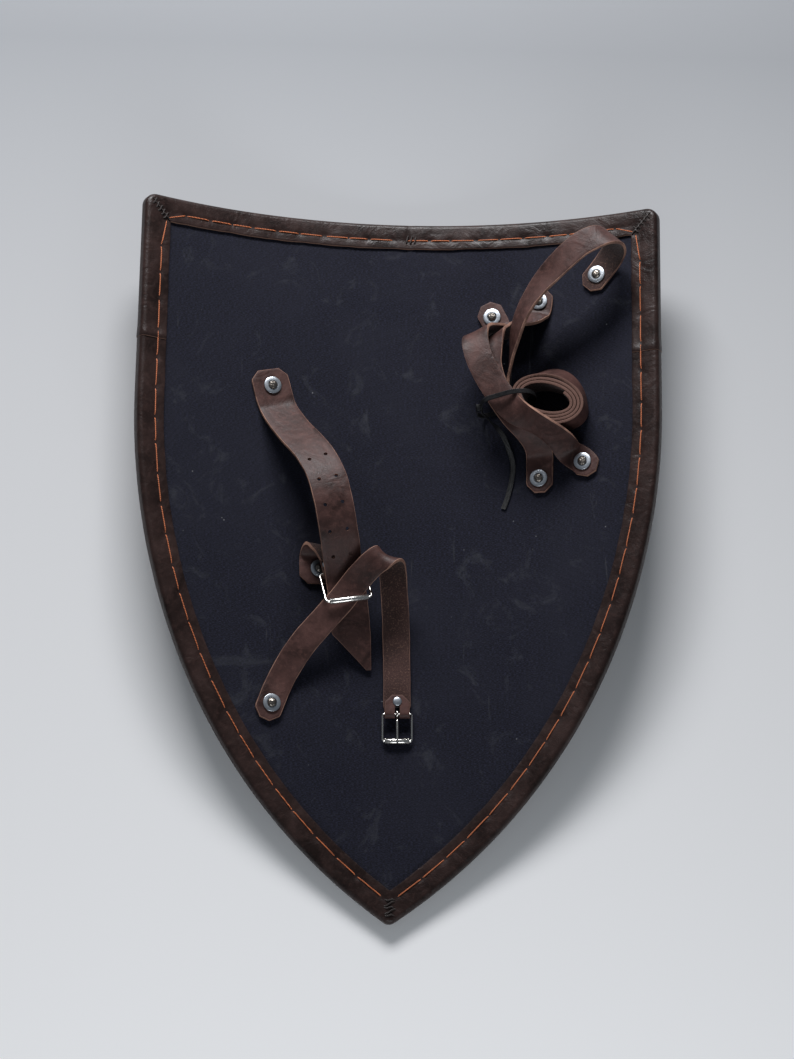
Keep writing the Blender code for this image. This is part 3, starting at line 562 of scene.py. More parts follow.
def mesh_from(bm, name):
    mesh = bpy.data.meshes.new(name)
    bm.to_mesh(mesh)
    bm.free()
    return mesh


def grid(columns, rows):
    """A flat grid and the column and row of each of its corners."""
    bm = bmesh.new()
    bmesh.ops.create_grid(bm, x_segments=columns, y_segments=rows, size=1.0)
    places = {}
    for corner in bm.verts:
        places[corner] = (round((corner.co.x + 1) / 2 * columns), round((corner.co.y + 1) / 2 * rows))
    return bm, places


def lay_out(bm, name, place_of):
    """Writes a UV map from the flat place of each vertex."""
    layer = bm.loops.layers.uv.new(name)
    for face in bm.faces:
        for corner in face.loops:
            corner[layer].uv = place_of(corner.vert)


def smooth(item, angle=40.0):
    item.data.shade_smooth()
    item.data.set_sharp_from_angle(angle=math.radians(angle))


def apply_modifiers(item):
    graph = bpy.context.evaluated_depsgraph_get()
    mesh = bpy.data.meshes.new_from_object(item.evaluated_get(graph), depsgraph=graph)
    item.modifiers.clear()
    item.data = mesh


def face_out(bm, place, out):
    """Turns an open sheet so that its face nearest to a place looks the way given."""
    bmesh.ops.recalc_face_normals(bm, faces=bm.faces)
    bm.normal_update()
    nearest = min(bm.faces, key=lambda face: (face.calc_center_median() - place).length)
    if nearest.normal.dot(out) < 0:
        bmesh.ops.reverse_faces(bm, faces=bm.faces)


def thicken(item, thickness, offset, finishes, rounding):
    """Gives a sheet of leather its thickness, with the back, the cut and its rounding as finishes."""
    back, cut, rounded = finishes
    solid = item.modifiers.new("leather", "SOLIDIFY")
    solid.thickness = thickness
    solid.offset = offset
    solid.use_even_offset = offset == 0.0
    solid.material_offset = back
    solid.material_offset_rim = cut
    bevel = item.modifiers.new("cut_edge", "BEVEL")
    bevel.width = rounding
    bevel.material = rounded
    bevel.segments = 2
    bevel.limit_method = "ANGLE"
    bevel.angle_limit = math.radians(50)
    apply_modifiers(item)
    smooth(item)


def punch(item, bm, finish):
    """Cuts the shapes of a bmesh out of a piece; the cut walls take the finish given."""
    cutter = linked("punch", mesh_from(bm, "punch"))
    cutter.data.materials.append(finish())
    boolean = item.modifiers.new("punch", "BOOLEAN")
    boolean.operation = "DIFFERENCE"
    boolean.solver = "EXACT"
    boolean.use_self = True
    boolean.material_mode = "TRANSFER"
    boolean.object = cutter
    apply_modifiers(item)
    smooth(item)
    bpy.data.objects.remove(cutter)


# Places on the curved board

def face_lean(x):
    return math.asin(x / sizes().inner_radius)


def over_face(x, y, height):
    """A point straight above the inner face."""
    return Vector((x, y, axis_height() - sizes().inner_radius * math.cos(face_lean(x)) + height))


def face_frame(x, y, lift=0.0):
    """Matrix at a place on the inner face: local Z out of the face, local Y along the shield."""
    turn = Matrix.Rotation(-face_lean(x), 4, "Y")
    out = turn @ Vector((0.0, 0.0, 1.0))
    return Matrix.Translation(over_face(x, y, 0.0) + out * lift) @ turn


def clear_of_face(width):
    across_the_hollow = (width / 2) ** 2 / (2 * sizes().inner_radius)
    across_a_facet = CAD_STRIP ** 2 / (8 * sizes().inner_radius)
    return GAP + FIT + across_the_hollow + across_a_facet


def rest_height(width, thickness):
    return thickness / 2 + clear_of_face(width)


def bent(s, y, w):
    """Where a flat place (s, y, w) comes to lie on the curved board, never below the floor."""
    radius = mid_radius() - w
    angle = s / mid_radius()
    return Vector((radius * math.sin(angle), y, max(axis_height() - radius * math.cos(angle), 0.0)))


# Outline

def side_radius():
    half_width = sizes().width_round_curve / 2
    drop = sizes().height - SHOULDER_DROP
    radius = (half_width ** 2 + drop ** 2) / (2 * half_width)
    half_angle = math.asin((radius - half_width) / radius)
    drop += TIP_RADIUS * (1 / math.cos(half_angle) - 1)
    return (half_width ** 2 + drop ** 2) / (2 * half_width)


def outline(inset, side_steps=200, straight_steps=70, corner_steps=10, top_steps=100):
    """Right half of the outline from the tip to the top middle, at an inset from the edge."""
    half_width = sizes().width_round_curve / 2
    top_y = sizes().height / 2
    shoulder_y = top_y - SHOULDER_DROP
    radius = side_radius()
    centre_s = half_width - radius
    tip_round = max(TIP_RADIUS - inset, 0.0)
    tip_turn = math.acos(-centre_s / (radius - inset - tip_round))
    tip_centre = shoulder_y - (radius - inset - tip_round) * math.sin(tip_turn)
    points = arc((0.0, tip_centre), tip_round, -math.pi / 2, math.pi / 2 - tip_turn, TIP_STEPS)[:-1]
    points[0] = (0.0, points[0][1])
    points += arc((centre_s, shoulder_y), radius - inset, -tip_turn, tip_turn, side_steps)
    corner_round = max(CORNER_RADIUS - inset, 0.0)
    corner_s = half_width - inset - corner_round
    corner_y = top_y - inset - corner_round
    joint_y = top_y - JOINT_DROP
    straight = top_y - CORNER_RADIUS - shoulder_y
    for step in range(1, straight_steps + 1):
        points.append((half_width - inset, min(shoulder_y + straight * step / straight_steps, corner_y)))
    nearest = min(range(TIP_STEPS, len(points)), key=lambda k: abs(points[k][1] - joint_y))
    points[nearest] = (points[nearest][0], joint_y)
    points += arc((corner_s, corner_y), corner_round, 0.0, math.pi / 2, corner_steps)[1:]
    for step in range(1, top_steps + 1):
        points.append((corner_s * (1 - step / top_steps), top_y - inset))
    return points, nearest


def board():
    """The bent board in fine strips across its curve, its cloth laid out flat as its UV map."""
    thickness = sizes().board_thickness
    half, _ = outline(sizes().edge_leather + GAP, 60, 6, 4, 2)
    loop = half + [(-s, y) for s, y in reversed(half[1:-1])]
    bm = bmesh.new()
    base = bm.faces.new([bm.verts.new((s, y, -thickness / 2)) for s, y in loop])
    grown = bmesh.ops.extrude_face_region(bm, geom=[base], use_keep_orig=True)
    lifted = [v for v in grown["geom"] if isinstance(v, bmesh.types.BMVert)]
    bmesh.ops.translate(bm, verts=lifted, vec=(0.0, 0.0, thickness))
    count = int(sizes().width_round_curve / 2 / BOARD_STRIP)
    for index in range(-count, count + 1):
        everything = bm.verts[:] + bm.edges[:] + bm.faces[:]
        bmesh.ops.bisect_plane(bm, geom=everything, plane_co=(index * BOARD_STRIP, 0, 0),
                               plane_no=(1, 0, 0))
    bmesh.ops.remove_doubles(bm, verts=bm.verts, dist=1e-6)
    bmesh.ops.recalc_face_normals(bm, faces=bm.faces)
    lay_out(bm, "cloth", lambda vertex: vertex.co.xy)
    for vertex in bm.verts:
        vertex.co = bent(*vertex.co)
    name = "canvas_board"
    smooth(add_piece(name, mesh_from(bm, name), [waxed_canvas], ["board"]))


# Leather edge

def stitch_line(flip):
    """The line of stitching on one half as flat (s, y), from the tip to the top middle."""
    half, _ = outline(STITCH_INSET)
    corner = max(half, key=lambda point: point[0] + point[1])
    line = [point for point in half if math.dist(point, corner) > STITCH_CORNER]
    return [(-s if flip else s, y) for s, y in line]


def stitch_ends(flip):
    """Start and end of every stitch on one half, at slightly uneven lengths."""
    line = stitch_line(flip)
    runs = runs_along(line)

    def at(run):
        k = max(j for j in range(len(runs) - 1) if runs[j] <= run or j == 0)
        share = (run - runs[k]) / (runs[k + 1] - runs[k])
        return tuple(a + (b - a) * share for a, b in zip(line[k], line[k + 1]))

    stitches = []
    run = FIRST_STITCH
    number = 0
    top_starts = next(at_run for at_run, (_, y) in zip(runs, line) if abs(y - line[-1][1]) < 1e-6)
    while True:
        uneven = math.sin(number * 2.4 + (1.3 if flip else 0.2)) + 0.6 * math.sin(number * 5.1)
        even = TOP_STITCH_LENGTH if run > top_starts - FIRST_STITCH else STITCH_LENGTH
        length = even * (1 + 0.09 * uneven)
        if run + length > runs[-1] - LAST_STITCH:
            break
        stitches.append((at(run), at(run + length)))
        run += length + STITCH_GAP * (1 + 0.3 * math.sin(number * 3.7))
        number += 1
    return stitches


def edge_profile():
    """Outer surface of the folded strip as (inset, w), from the inner face round the rim."""
    reach = sizes().edge_reach
    insets = [reach - FOLD_SPACING * step for step in range(12)]
    flat = [(inset, half_stack()) for inset in insets if inset > EDGE_ROUNDING + FOLD_SPACING / 2]
    rim = arc((EDGE_ROUNDING, half_stack() - EDGE_ROUNDING), EDGE_ROUNDING, math.pi / 2, math.pi / 2, 8)
    upper = flat + rim
    return upper + [(inset, -w) for inset, w in reversed(upper[:-1])]


def bell(distance, width, height):
    return height * math.exp(-(distance / width) ** 2)


def edge_strip(name, node, first, last, mirrored, holes, seed):
    """One length of the folded leather edge, with puckers, sunk stitches and lifted ends."""
    profile = edge_profile()
    rows = []
    for inset, w in profile:
        half, _ = outline(max(inset, 0.0))
        run = []
        for flip in mirrored:
            part = [(-s if flip else s, y) for s, y in half[first:last + 1]]
            run += part if not run else list(reversed(part))[1:]
        rows.append(run)
    stations = len(rows[0])
    joint_y = sizes().height / 2 - JOINT_DROP
    on_top = len(mirrored) == 2
    bm, places = grid(stations - 1, len(profile) - 1)
    lengths = runs_along(rows[0])
    for vertex, (station, level) in places.items():
        s, y = rows[level][station]
        inset, w = profile[level]
        face = 1.0 if w > 0 else -1.0
        run = lengths[station]
        if on_top and abs(y - joint_y) < 1e-5:
            y -= JOINT_OVERLAP
        lift = bell(y - joint_y, JOINT_LIFT_REACH, JOINT_LIFT) if on_top else 0.0
        crest = min(1.0, max(0.0, 1.0 - abs(inset - PUCKER_INSET) / PUCKER_WIDTH))
        lift += PUCKER * ripple(run, seed + (0.8 if w > 0 else 3.1)) * crest
        if inset > DENTED_INSET:
            near = min(math.dist((s, y), hole) for hole in holes)
            lift -= bell(near, DENT_WIDTH, STITCH_DIP)
            lift -= bell(inset - STITCH_INSET, FURROW_WIDTH, FURROW_DEPTH)
        if on_top:
            lift -= bell(s - CREASE_PLACE, CREASE_WIDTH, CREASE_DEPTH)
        if level in (0, len(profile) - 1):
            slide = WAVY_CUT * ripple(run * 1.3, seed + 5.0)
            if abs(y) >= sizes().height / 2 - CORNER_ZONE:
                y -= slide
            elif abs(s) > 0.02:
                s -= math.copysign(slide, s)
        on_face = min(1.0, abs(w) / half_stack())
        vertex.co = bent(s * (1 + lift * (1 - on_face) * 3.0), y, w + face * lift * on_face)
    lay_out(bm, "length", lambda vertex: (lengths[places[vertex][0]], places[vertex][1] * FOLD_SPACING))
    bmesh.ops.remove_doubles(bm, verts=bm.verts, dist=1e-6)
    s, y = rows[2][stations // 2]
    face_out(bm, bent(s, y, half_stack()), Vector((0.0, 0.0, 1.0)))
    item = add_piece(name, mesh_from(bm, name), [edge_hide, edge_hide_cut], [node])
    thicken(item, sizes().edge_leather, -1.0, (1, 1, -1), EDGE_CUT_ROUNDING)


def edge_binding():
    half, joint = outline(0.0)
    right, left = ([point for stitch in stitch_ends(flip) for point in stitch] for flip in (False, True))
    upper = [hole for hole in right + left if hole[1] > UPPER_HOLES]
    edge_strip("leather_edge_top", "edge_binding_top", joint, len(half) - 1, (False, True), upper, 1.0)
    edge_strip("leather_edge_right", "edge_binding_right", 0, joint, (False,), right, 2.0)
    edge_strip("leather_edge_left", "edge_binding_left", 0, joint, (True,), left, 3.0)


def curve_piece(name, runs, radius, finish, nodes=(), closed=False, rounds=1):
    """Lengths of thread or wire, each a list of points, as one round piece."""
    curve = bpy.data.curves.new(name, "CURVE")
    curve.dimensions = "3D"
    curve.bevel_depth = radius
    curve.bevel_resolution = rounds
    curve.use_fill_caps = not closed
    for points in runs:
        spline = curve.splines.new("POLY")
        spline.points.add(len(points) - 1)
        for target, point in zip(spline.points, points):
            target.co = (*point, 1.0)
        spline.use_cyclic_u = closed
    return add_piece(name, curve, [finish], nodes)


def stitching():
    """Long running stitches on both faces, dipping into their holes at each end."""
    for face, name in ((1.0, "stitching_inner_face"), (-1.0, "stitching_outer_face")):
        runs = []
        for flip in (False, True):
            for number, (start, end) in enumerate(stitch_ends(flip)):
                points = []
                for step in range(17):
                    share = step / 16
                    s, y = (a + (b - a) * share for a, b in zip(start, end))
                    arch = 1 - abs(2 * share - 1) ** 8
                    slack = STITCH_SLACK * math.sin(number * 1.9 + share * 3.0)
                    rise = STITCH_RISE * (arch - 1) + slack
                    x, y, z = bent(s, y, face * (half_stack() + rise))
                    points.append((x, y, max(z, THREAD_RADIUS) if face < 0 else z))
                runs.append(points)
        curve_piece(name, runs, THREAD_RADIUS, copper_thread)


def whip(s, y, lean, across):
    """One short stitch over a seam as points, bowed by its lean and laid along across."""
    points = []
    for step in range(7):
        share = step / 6 - 0.5
        bow = LACE_BOW * math.sin(share * 5)
        arch = 1 - abs(2 * share) ** 4
        points.append(bent(s + across[0] * share + lean[0] * bow, y + across[1] * share + lean[1] * bow,
                           half_stack() - LACE_SUNK + LACE_ARCH * arch))
    return points


def lacing():
    """Dark whipped thread over the corner and tip mitres, and at the middle of the top edge."""
    half_width = sizes().width_round_curve / 2
    top_y = sizes().height / 2
    diagonal = math.sqrt(0.5)
    runs = []
    upright = (0.0, 1.0)
    for flip in (1.0, -1.0):
        insets = [CORNER_SEAM[0] - CORNER_SEAM[1] * step for step in range(6)]
        runs.append([bent(flip * (half_width - inset), top_y - inset, half_stack() + SEAM_THREAD_LIFT)
                     for inset in insets])
        for number in range(5):
            inset = CORNER_LACES[0] - CORNER_LACES[1] * number
            skew = math.sin(math.radians(CORNER_LACE_SKEWS[number % 2]))
            length = CORNER_LACE_LENGTHS[number % 2]
            across = (-0.9 * diagonal * flip * length, (diagonal + skew * 0.25) * length)
            lean = (flip * diagonal, diagonal)
            runs.append(whip(flip * (half_width - inset), top_y - inset, lean, across))
    for number in range(5):
        length = TIP_LACE_LENGTHS[number % 2]
        across = (length, length * TIP_LACE_SLOPES[number % 2])
        s = TIP_LACE_WANDER * math.sin(number * 2.0)
        runs.append(whip(s, TIP_LACES[0] + TIP_LACES[1] * number - top_y, upright, across))
    for number in range(3):
        s = TOP_LACES[0] + TOP_LACES[1] * number
        y = top_y - TOP_LACE_DROP[0] - TOP_LACE_DROP[1] * number
        runs.append(whip(s, y, upright, TOP_LACE_WAY))
    curve_piece("dark_lacing", runs, LACE_RADIUS, dark_thread)


# Turned metal

def turned(name, profile, place, finish, nodes=(), closed=False):
    """A profile of (radius, height) spun round local Z."""
    bm = bmesh.new()
    verts = [bm.verts.new((radius, 0.0, height)) for radius, height in profile]
    pairs = list(zip(verts, verts[1:])) + ([(verts[-1], verts[0])] if closed else [])
    for a, b in pairs:
        bm.edges.new((a, b))
    bmesh.ops.spin(bm, geom=bm.verts[:] + bm.edges[:], cent=(0, 0, 0), axis=(0, 0, 1),
                   angle=2 * math.pi, steps=TURNING_STEPS, use_merge=True)
    bmesh.ops.remove_doubles(bm, verts=bm.verts, dist=1e-6)
    bmesh.ops.recalc_face_normals(bm, faces=bm.faces)
    bm.transform(place)
    smooth(add_piece(name, mesh_from(bm, name), [finish], nodes), 50.0)


def dome(radius, height, base, up, steps=8):
    """Half the profile of a domed head, from its crown down to its rim."""
    quarter = arc((0.0, 0.0), 1.0, math.pi / 2, -math.pi / 2, steps)
    return [(radius * across, base + up * height * rise) for across, rise in quarter]


def fastening(name, width):
    """Washer and rivet of one strap end: a dished washer and a hammered peen."""
    x, y = RIVETS[name]
    place = face_frame(x, y)
    base = rest_height(width, sizes().strap_leather) + sizes().strap_leather / 2 + GAP
    top = base + WASHER_THICKNESS
    bore = SHANK_RADIUS + GAP
    dish = top - WASHER_DISH
    inner = WASHER_RADIUS - WASHER_LIP
    dish_floor, dish_mouth = (PEEN_RADIUS + clearance for clearance in DISH_CLEARANCE)
    ring = [(WASHER_RADIUS, base + WASHER_LIP), (inner, base), (bore, base), (bore, dish)]
    ring += [(dish_floor, dish), (dish_mouth, top), (inner, top)]
    ring += [(WASHER_RADIUS - WASHER_LIP / 4, top - WASHER_LIP * 3 / 8), (WASHER_RADIUS, top - WASHER_LIP)]
    turned("washer_ring_" + name, ring, place, zinc_plate, ["washer_" + name], closed=True)
    outside = -sizes().board_thickness - GAP
    profile = dome(PEEN_RADIUS, PEEN_HEIGHT, top + GAP, 1.0)
    profile += [(SHANK_RADIUS, top + GAP - PEEN_NECK), (SHANK_RADIUS, outside)]
    profile += list(reversed(dome(HEAD_RADIUS, HEAD_HEIGHT, outside, -1.0)))
    turned("peened_rivet_" + name, profile, place, peened_steel, ["rivet_" + name])


# Straps

def smooth_rows(rows, spacing):
    """Runs a smooth curve through the rows and reads it at an even spacing."""
    dense = []
    last = len(rows) - 1
    for k in range(last):
        around = rows[max(k - 1, 0)], rows[k], rows[k + 1], rows[min(k + 2, last)]
        for step in range(24):
            t = step / 24
            dense.append([0.5 * (2 * b + (c - a) * t + (2 * a - 5 * b + 4 * c - d) * t * t
                                 + (3 * b - a - 3 * c + d) * t ** 3) for a, b, c, d in zip(*around)])
    dense.append(list(rows[-1]))
    lengths = runs_along([row[:3] for row in dense])
    count = max(2, round(lengths[-1] / spacing))
    picked = []
    k = 0
    for index in range(count + 1):
        goal = lengths[-1] * index / count
        while k < len(lengths) - 2 and lengths[k + 1] < goal:
            k += 1
        share = (goal - lengths[k]) / max(lengths[k + 1] - lengths[k], 1e-9)
        picked.append([a + (b - a) * share for a, b in zip(dense[k], dense[k + 1])])
    return picked


def route(rivet, rows, width, thickness=None):
    """Stations of a strap, each its middle and the way its side edge faces, from rows.

    A row is x and y from the rivet and height over the face in mm, then the way the side
    edge faces seen from above and its lean out of the face in degrees.
    """
    x0, y0 = RIVETS[rivet]
    rest = rest_height(width, thickness or sizes().strap_leather)
    stations = []
    scaled = [[value * ROW_UNIT for value in row[:3]] + [math.radians(angle) for angle in row[3:]]
              for row in rows]
    for x, y, height, turn, lean in smooth_rows(scaled, STRAP_STEP):
        place_x = x0 + x
        level = math.cos(face_lean(place_x))
        middle = over_face(place_x, y0 + y, max(height, rest / level))
        flat = Vector((math.cos(turn), math.sin(turn), 0.0))
        tilt = math.atan(math.tan(face_lean(place_x)) * flat.x) + lean
        stations.append((middle, flat * math.cos(tilt) + Vector((0.0, 0.0, math.sin(tilt)))))
    return stations


def softened(stations, times=2):
    """Eases the kinks of a strap's line, its ends kept."""
    for _ in range(times):
        eased = [stations[0]]
        for before, here, after in zip(stations, stations[1:], stations[2:]):
            middle = here[0] * 0.5 + (before[0] + after[0]) * 0.25
            side = (here[1] * 0.5 + (before[1] + after[1]) * 0.25).normalized()
            eased.append((middle, side))
        eased.append(stations[-1])
        stations = eased
    return stations


def square_sides(stations):
    """Turns every side square to the strap's line."""
    squared = []
    for k, (middle, side) in enumerate(stations):
        ahead = stations[min(k + 1, len(stations) - 1)][0] - stations[max(k - 1, 0)][0]
        along = ahead.normalized()
        squared.append((middle, (side - along * side.dot(along)).normalized()))
    return squared


def ribbon(name, stations, width, finishes, slot, nodes, start_chamfer=True, end_chamfer=True,
           edges=None, thickness=None, seed=0.0, ragged=RAGGEDNESS):
    """A strap as a fine grid laid along its stations, then thickened, its cut edges rounded."""
    stations = square_sides(stations)
    lengths = runs_along([middle for middle, _ in stations])
    total = lengths[-1]
    bm, places = grid(ACROSS, len(stations) - 1)
    flat = {}
    for vertex, (column, k) in places.items():
        run = lengths[k]
        left, right = -width / 2, width / 2
        if start_chamfer and run < END_CHAMFER:
            left, right = left + END_CHAMFER - run, right - END_CHAMFER + run
        if end_chamfer and total - run < END_CHAMFER:
            left, right = left + END_CHAMFER - total + run, right - END_CHAMFER + total - run
        if edges:
            left, right = edges(left, right, total - run)
        left += ragged * ripple(run * 1.6, seed)
        right += ragged * ripple(run * 1.6, seed + 4.0)
        offset = left + (right - left) * column / ACROSS
        middle, side = stations[k]
        vertex.co = middle + side * offset
        flat[vertex] = (offset + width / 2, run)
    lay_out(bm, "length", flat.get)
    grain_side = (stations[1][0] - stations[0][0]).cross(stations[0][1])
    face_out(bm, stations[0][0], grain_side)
    item = add_piece(name, mesh_from(bm, name), finishes, nodes)
    last = len(finishes) - 1
    rounding = CUT_ROUNDING if thickness is None else thickness * 0.25
    thicken(item, thickness or sizes().strap_leather, 0.0, (min(1, last), last, last), rounding)
    return item


def leather_strap(node, stations, width, **choices):
    finishes = [strap_grain, strap_flesh, strap_cut]
    return ribbon(node + "_leather", stations, width, finishes, "strap_leather", [node], **choices)


def bridge(start, end):
    """Even stations between two, without either."""
    count = round((end[0] - start[0]).length / STRAP_STEP)
    between = []
    for step in range(1, count):
        share = step / count
        between.append((start[0].lerp(end[0], share), start[1].lerp(end[1], share).normalized()))
    return between


def wrap(centre, axis, start, radius, sweep, steps=12):
    """Stations round a bar."""
    stations = []
    for step in range(steps + 1):
        turn = Matrix.Rotation(math.radians(sweep) * step / steps, 3, axis)
        stations.append((centre + turn @ start * radius, axis.copy()))
    return stations


def run_on(stations, way, axis, steps=8):
    """Stations straight on from the last one, over the whole of way."""
    start = stations[-1][0]
    return [(start + way * step / steps, axis.copy()) for step in range(1, steps + 1)]


def wrap_radius(wire_radius):
    return wire_radius + FIT + sizes().strap_leather / 2


def arm_strap():
    wide = sizes().wide_strap
    rows = [(-4, 16, 0, 14, 0), (0, 0, 0, 15, 0), (3.8, -13.5, 0, 17, 0), (9.5, -28, 7.5, 20, -2),
            (22, -49, 23, 26, -5), (41, -76, 45, 29, -5), (54, -102, 59, 24, -2), (62, -131, 62, 15, 0),
            (68, -159, 52, 12, 0), (71.5, -177, 36, 11, 0), (74.3, -192, 27, 10, 0),
            (76.2, -203, 24.3, 9, 0), (78.3, -215, 22.3, 8, 0), (82, -245, 13.5, 5, 0),
            (84, -280, 3, 4, 0)]
    stations = softened(route("arm_strap", rows, wide))

    def tail(left, right, to_end):
        if to_end < TAIL_CUT:
            left = left + (wide - TAIL_BLUNT) * (1 - to_end / TAIL_CUT)
        return left, right

    item = leather_strap("arm_strap", stations, wide, end_chamfer=False, edges=tail, seed=1.0)
    bm = bmesh.new()
    squared = square_sides(stations)
    lengths = runs_along([middle for middle, _ in squared])
    for number in range(HOLE_PAIRS):
        goal = FIRST_HOLE + number * HOLE_PITCH
        k = next(k for k in range(len(squared) - 1) if lengths[k + 1] >= goal)
        (a, side), (b, _) = squared[k], squared[k + 1]
        middle = a.lerp(b, (goal - lengths[k]) / (lengths[k + 1] - lengths[k]))
        along = (b - a).normalized()
        turn = Matrix((side, along, side.cross(along))).transposed().to_4x4()
        for across in (-HOLE_SPREAD / 2, HOLE_SPREAD / 2):
            place = Matrix.Translation(middle + side * across) @ turn
            bmesh.ops.create_cone(bm, cap_ends=True, segments=20, radius1=HOLE_RADIUS,
                                  radius2=HOLE_RADIUS, depth=CUT_DEPTH, matrix=place)
    punch(item, bm, strap_cut)


def large_buckle_frame():
    """Matrix of the large buckle: X along the bar, Y from bar to roller, Z out of its plane."""
    x, y, height = LARGE_BUCKLE_PLACE
    turn = Matrix.Rotation(math.radians(LARGE_BUCKLE_TURN), 4, "Z")
    rise = Matrix.Rotation(math.radians(-LARGE_BUCKLE_RISE), 4, "X")
    lean = Matrix.Rotation(-face_lean(x), 4, "Y")
    place = Matrix.Translation(over_face(x, y, height))
    return place @ lean @ turn @ rise @ Matrix.Rotation(math.pi, 4, "Z")


def small_buckle_frame():
    """Matrix of the small buckle, which lies on the face."""
    leather = sizes().strap_leather
    bar_height = rest_height(sizes().narrow_strap, leather) + BAR_LIFT + wrap_radius(SMALL_BUCKLE_WIRE)
    roller_height = ROLLER_RADIUS + clear_of_face(SMALL_BUCKLE_INSIDE)
    rise = math.asin((bar_height - roller_height) / SMALL_BUCKLE_DEPTH)
    place = Matrix.Translation(over_face(SMALL_BUCKLE_X, SMALL_BUCKLE_Y, bar_height))
    turn = Matrix.Rotation(math.radians(SMALL_BUCKLE_TURN), 4, "Z")
    return place @ turn @ Matrix.Rotation(rise, 4, "X") @ Matrix.Rotation(math.pi, 4, "Z")


def wire(name, points, radius, node, closed=False):
    curve_piece(name, [points], radius, nickel_plate, [node], closed, rounds=6)


def buckle(prefix, place, inside, depth, wire_radius, corner, prongs, swing):
    """Bent wire frame, loose roller and prongs of a roller buckle."""
    half = inside / 2 + wire_radius - corner
    far = depth - corner
    points = []
    for k, centre in enumerate([(half, corner), (half, far), (-half, far), (-half, corner)]):
        points += arc(centre, corner, math.pi / 2 * (k - 1), math.pi / 2, 8)
    bent_wire = [place @ Vector((*point, 0.0)) for point in points]
    wire(prefix + "_bent_frame", bent_wire, wire_radius, prefix + "_frame", closed=True)
    length = inside / 2 - corner + wire_radius - GAP
    bore = wire_radius + GAP
    inner = ROLLER_RADIUS - ROLLER_LIP
    straight = length - ROLLER_LIP
    tube = [(ROLLER_RADIUS, straight), (ROLLER_RADIUS, -straight), (inner, -length)]
    tube += [(bore, -length), (bore, length), (inner, length)]
    lying = place @ Matrix.Translation((0, depth, 0)) @ Matrix.Rotation(math.pi / 2, 4, "Y")
    turned(prefix + "_tube_roller", tube, lying, nickel_plate, [prefix + "_roller"], closed=True)
    eye = wire_radius + GAP + PRONG_RADIUS
    prong_length = depth + ROLLER_RADIUS
    swing = math.radians(swing)
    ring = arc((0.0, 0.0), eye, math.radians(-75), math.radians(-285), 24)
    for number, across in enumerate(prongs):
        points = [Vector((across, *point)) for point in ring]
        root = points[-1]
        tip = Vector((across, prong_length * math.cos(swing), -prong_length * math.sin(swing)))
        points += [root.lerp(tip, step / 5) for step in range(1, 6)]
        node = prefix + ("_prong" if len(prongs) == 1 else "_prong_%d" % (number + 1))
        wire(node + "_wire", [place @ point for point in points], PRONG_RADIUS, node)


def cut_slots(item, place, prongs, length):
    bm = bmesh.new()
    for across in prongs:
        box = Matrix.Translation((across, 0.0, 0.0)) @ Matrix.Diagonal((SLOT_WIDTH, length, CUT_DEPTH, 1))
        bmesh.ops.create_cube(bm, size=1.0, matrix=place @ box)
    bmesh.ops.recalc_face_normals(bm, faces=bm.faces)
    punch(item, bm, strap_cut)


def small_rivet(name, node, place, grip):
    base = grip / 2 + GAP
    profile = dome(SMALL_HEAD_RADIUS, SMALL_HEAD_HEIGHT, base, 1.0)
    profile += [(SMALL_SHANK_RADIUS, base), (SMALL_SHANK_RADIUS, -base)]
    profile += list(reversed(dome(SMALL_HEAD_RADIUS, SMALL_BACK_HEIGHT, -base, -1.0)))
    turned(name, profile, place, zinc_plate, [node])


def square_frame(origin, out, across):
    """Matrix at a point with local Z along out and local X as near across as it can be."""
    out = out.normalized()
    side = (across - out * across.dot(out)).normalized()
    return Matrix.Translation(origin) @ Matrix((side, out.cross(side), out)).transposed().to_4x4()


def arm_buckle_tab():
    """Lies flat past its rivet, folds forward and holds the large buckle's bar."""
    wide = sizes().wide_strap
    place = large_buckle_frame()
    axis = (place.to_3x3() @ Vector((1.0, 0.0, 0.0))).normalized()
    bar = place.translation
    rows = [(0.5, -15, 0, 178, 0), (0, -2, 0, 180, 0), (-0.2, 9.5, 1.3, 182, -2), (1, 16, 7, 185, -6),
            (4.5, 20, 13, 190, 0), (10.5, 18, 20.6, 190, 0), (17, 12, 23.8, 190, 0)]
    stations = route("arm_buckle_tab", rows, wide)
    away = stations[-1][0] - bar
    away -= axis * away.dot(axis)
    radius = wrap_radius(LARGE_BUCKLE_WIRE)
    lift = math.degrees(math.acos(radius / away.length))
    start = Matrix.Rotation(math.radians(-lift), 3, axis) @ away.normalized()
    stations += bridge(stations[-1], (bar + start * radius, axis))
    stations += wrap(bar, axis, start, radius, -180.0)
    along = axis.cross(start)
    stations += run_on(stations, along * TAB_RETURN, axis)
    item = leather_strap("arm_buckle_tab", softened(stations, 1), wide, seed=2.0)
    cut_slots(item, place, (-PRONG_SPREAD / 2, PRONG_SPREAD / 2), LARGE_SLOT_LENGTH)
    rivet_place = bar + axis * TAB_RIVET[0] + along * TAB_RIVET[1]
    small_rivet("tab_rivet", "small_rivet_tab", square_frame(rivet_place, start, axis),
                2 * radius + sizes().strap_leather + FIT)


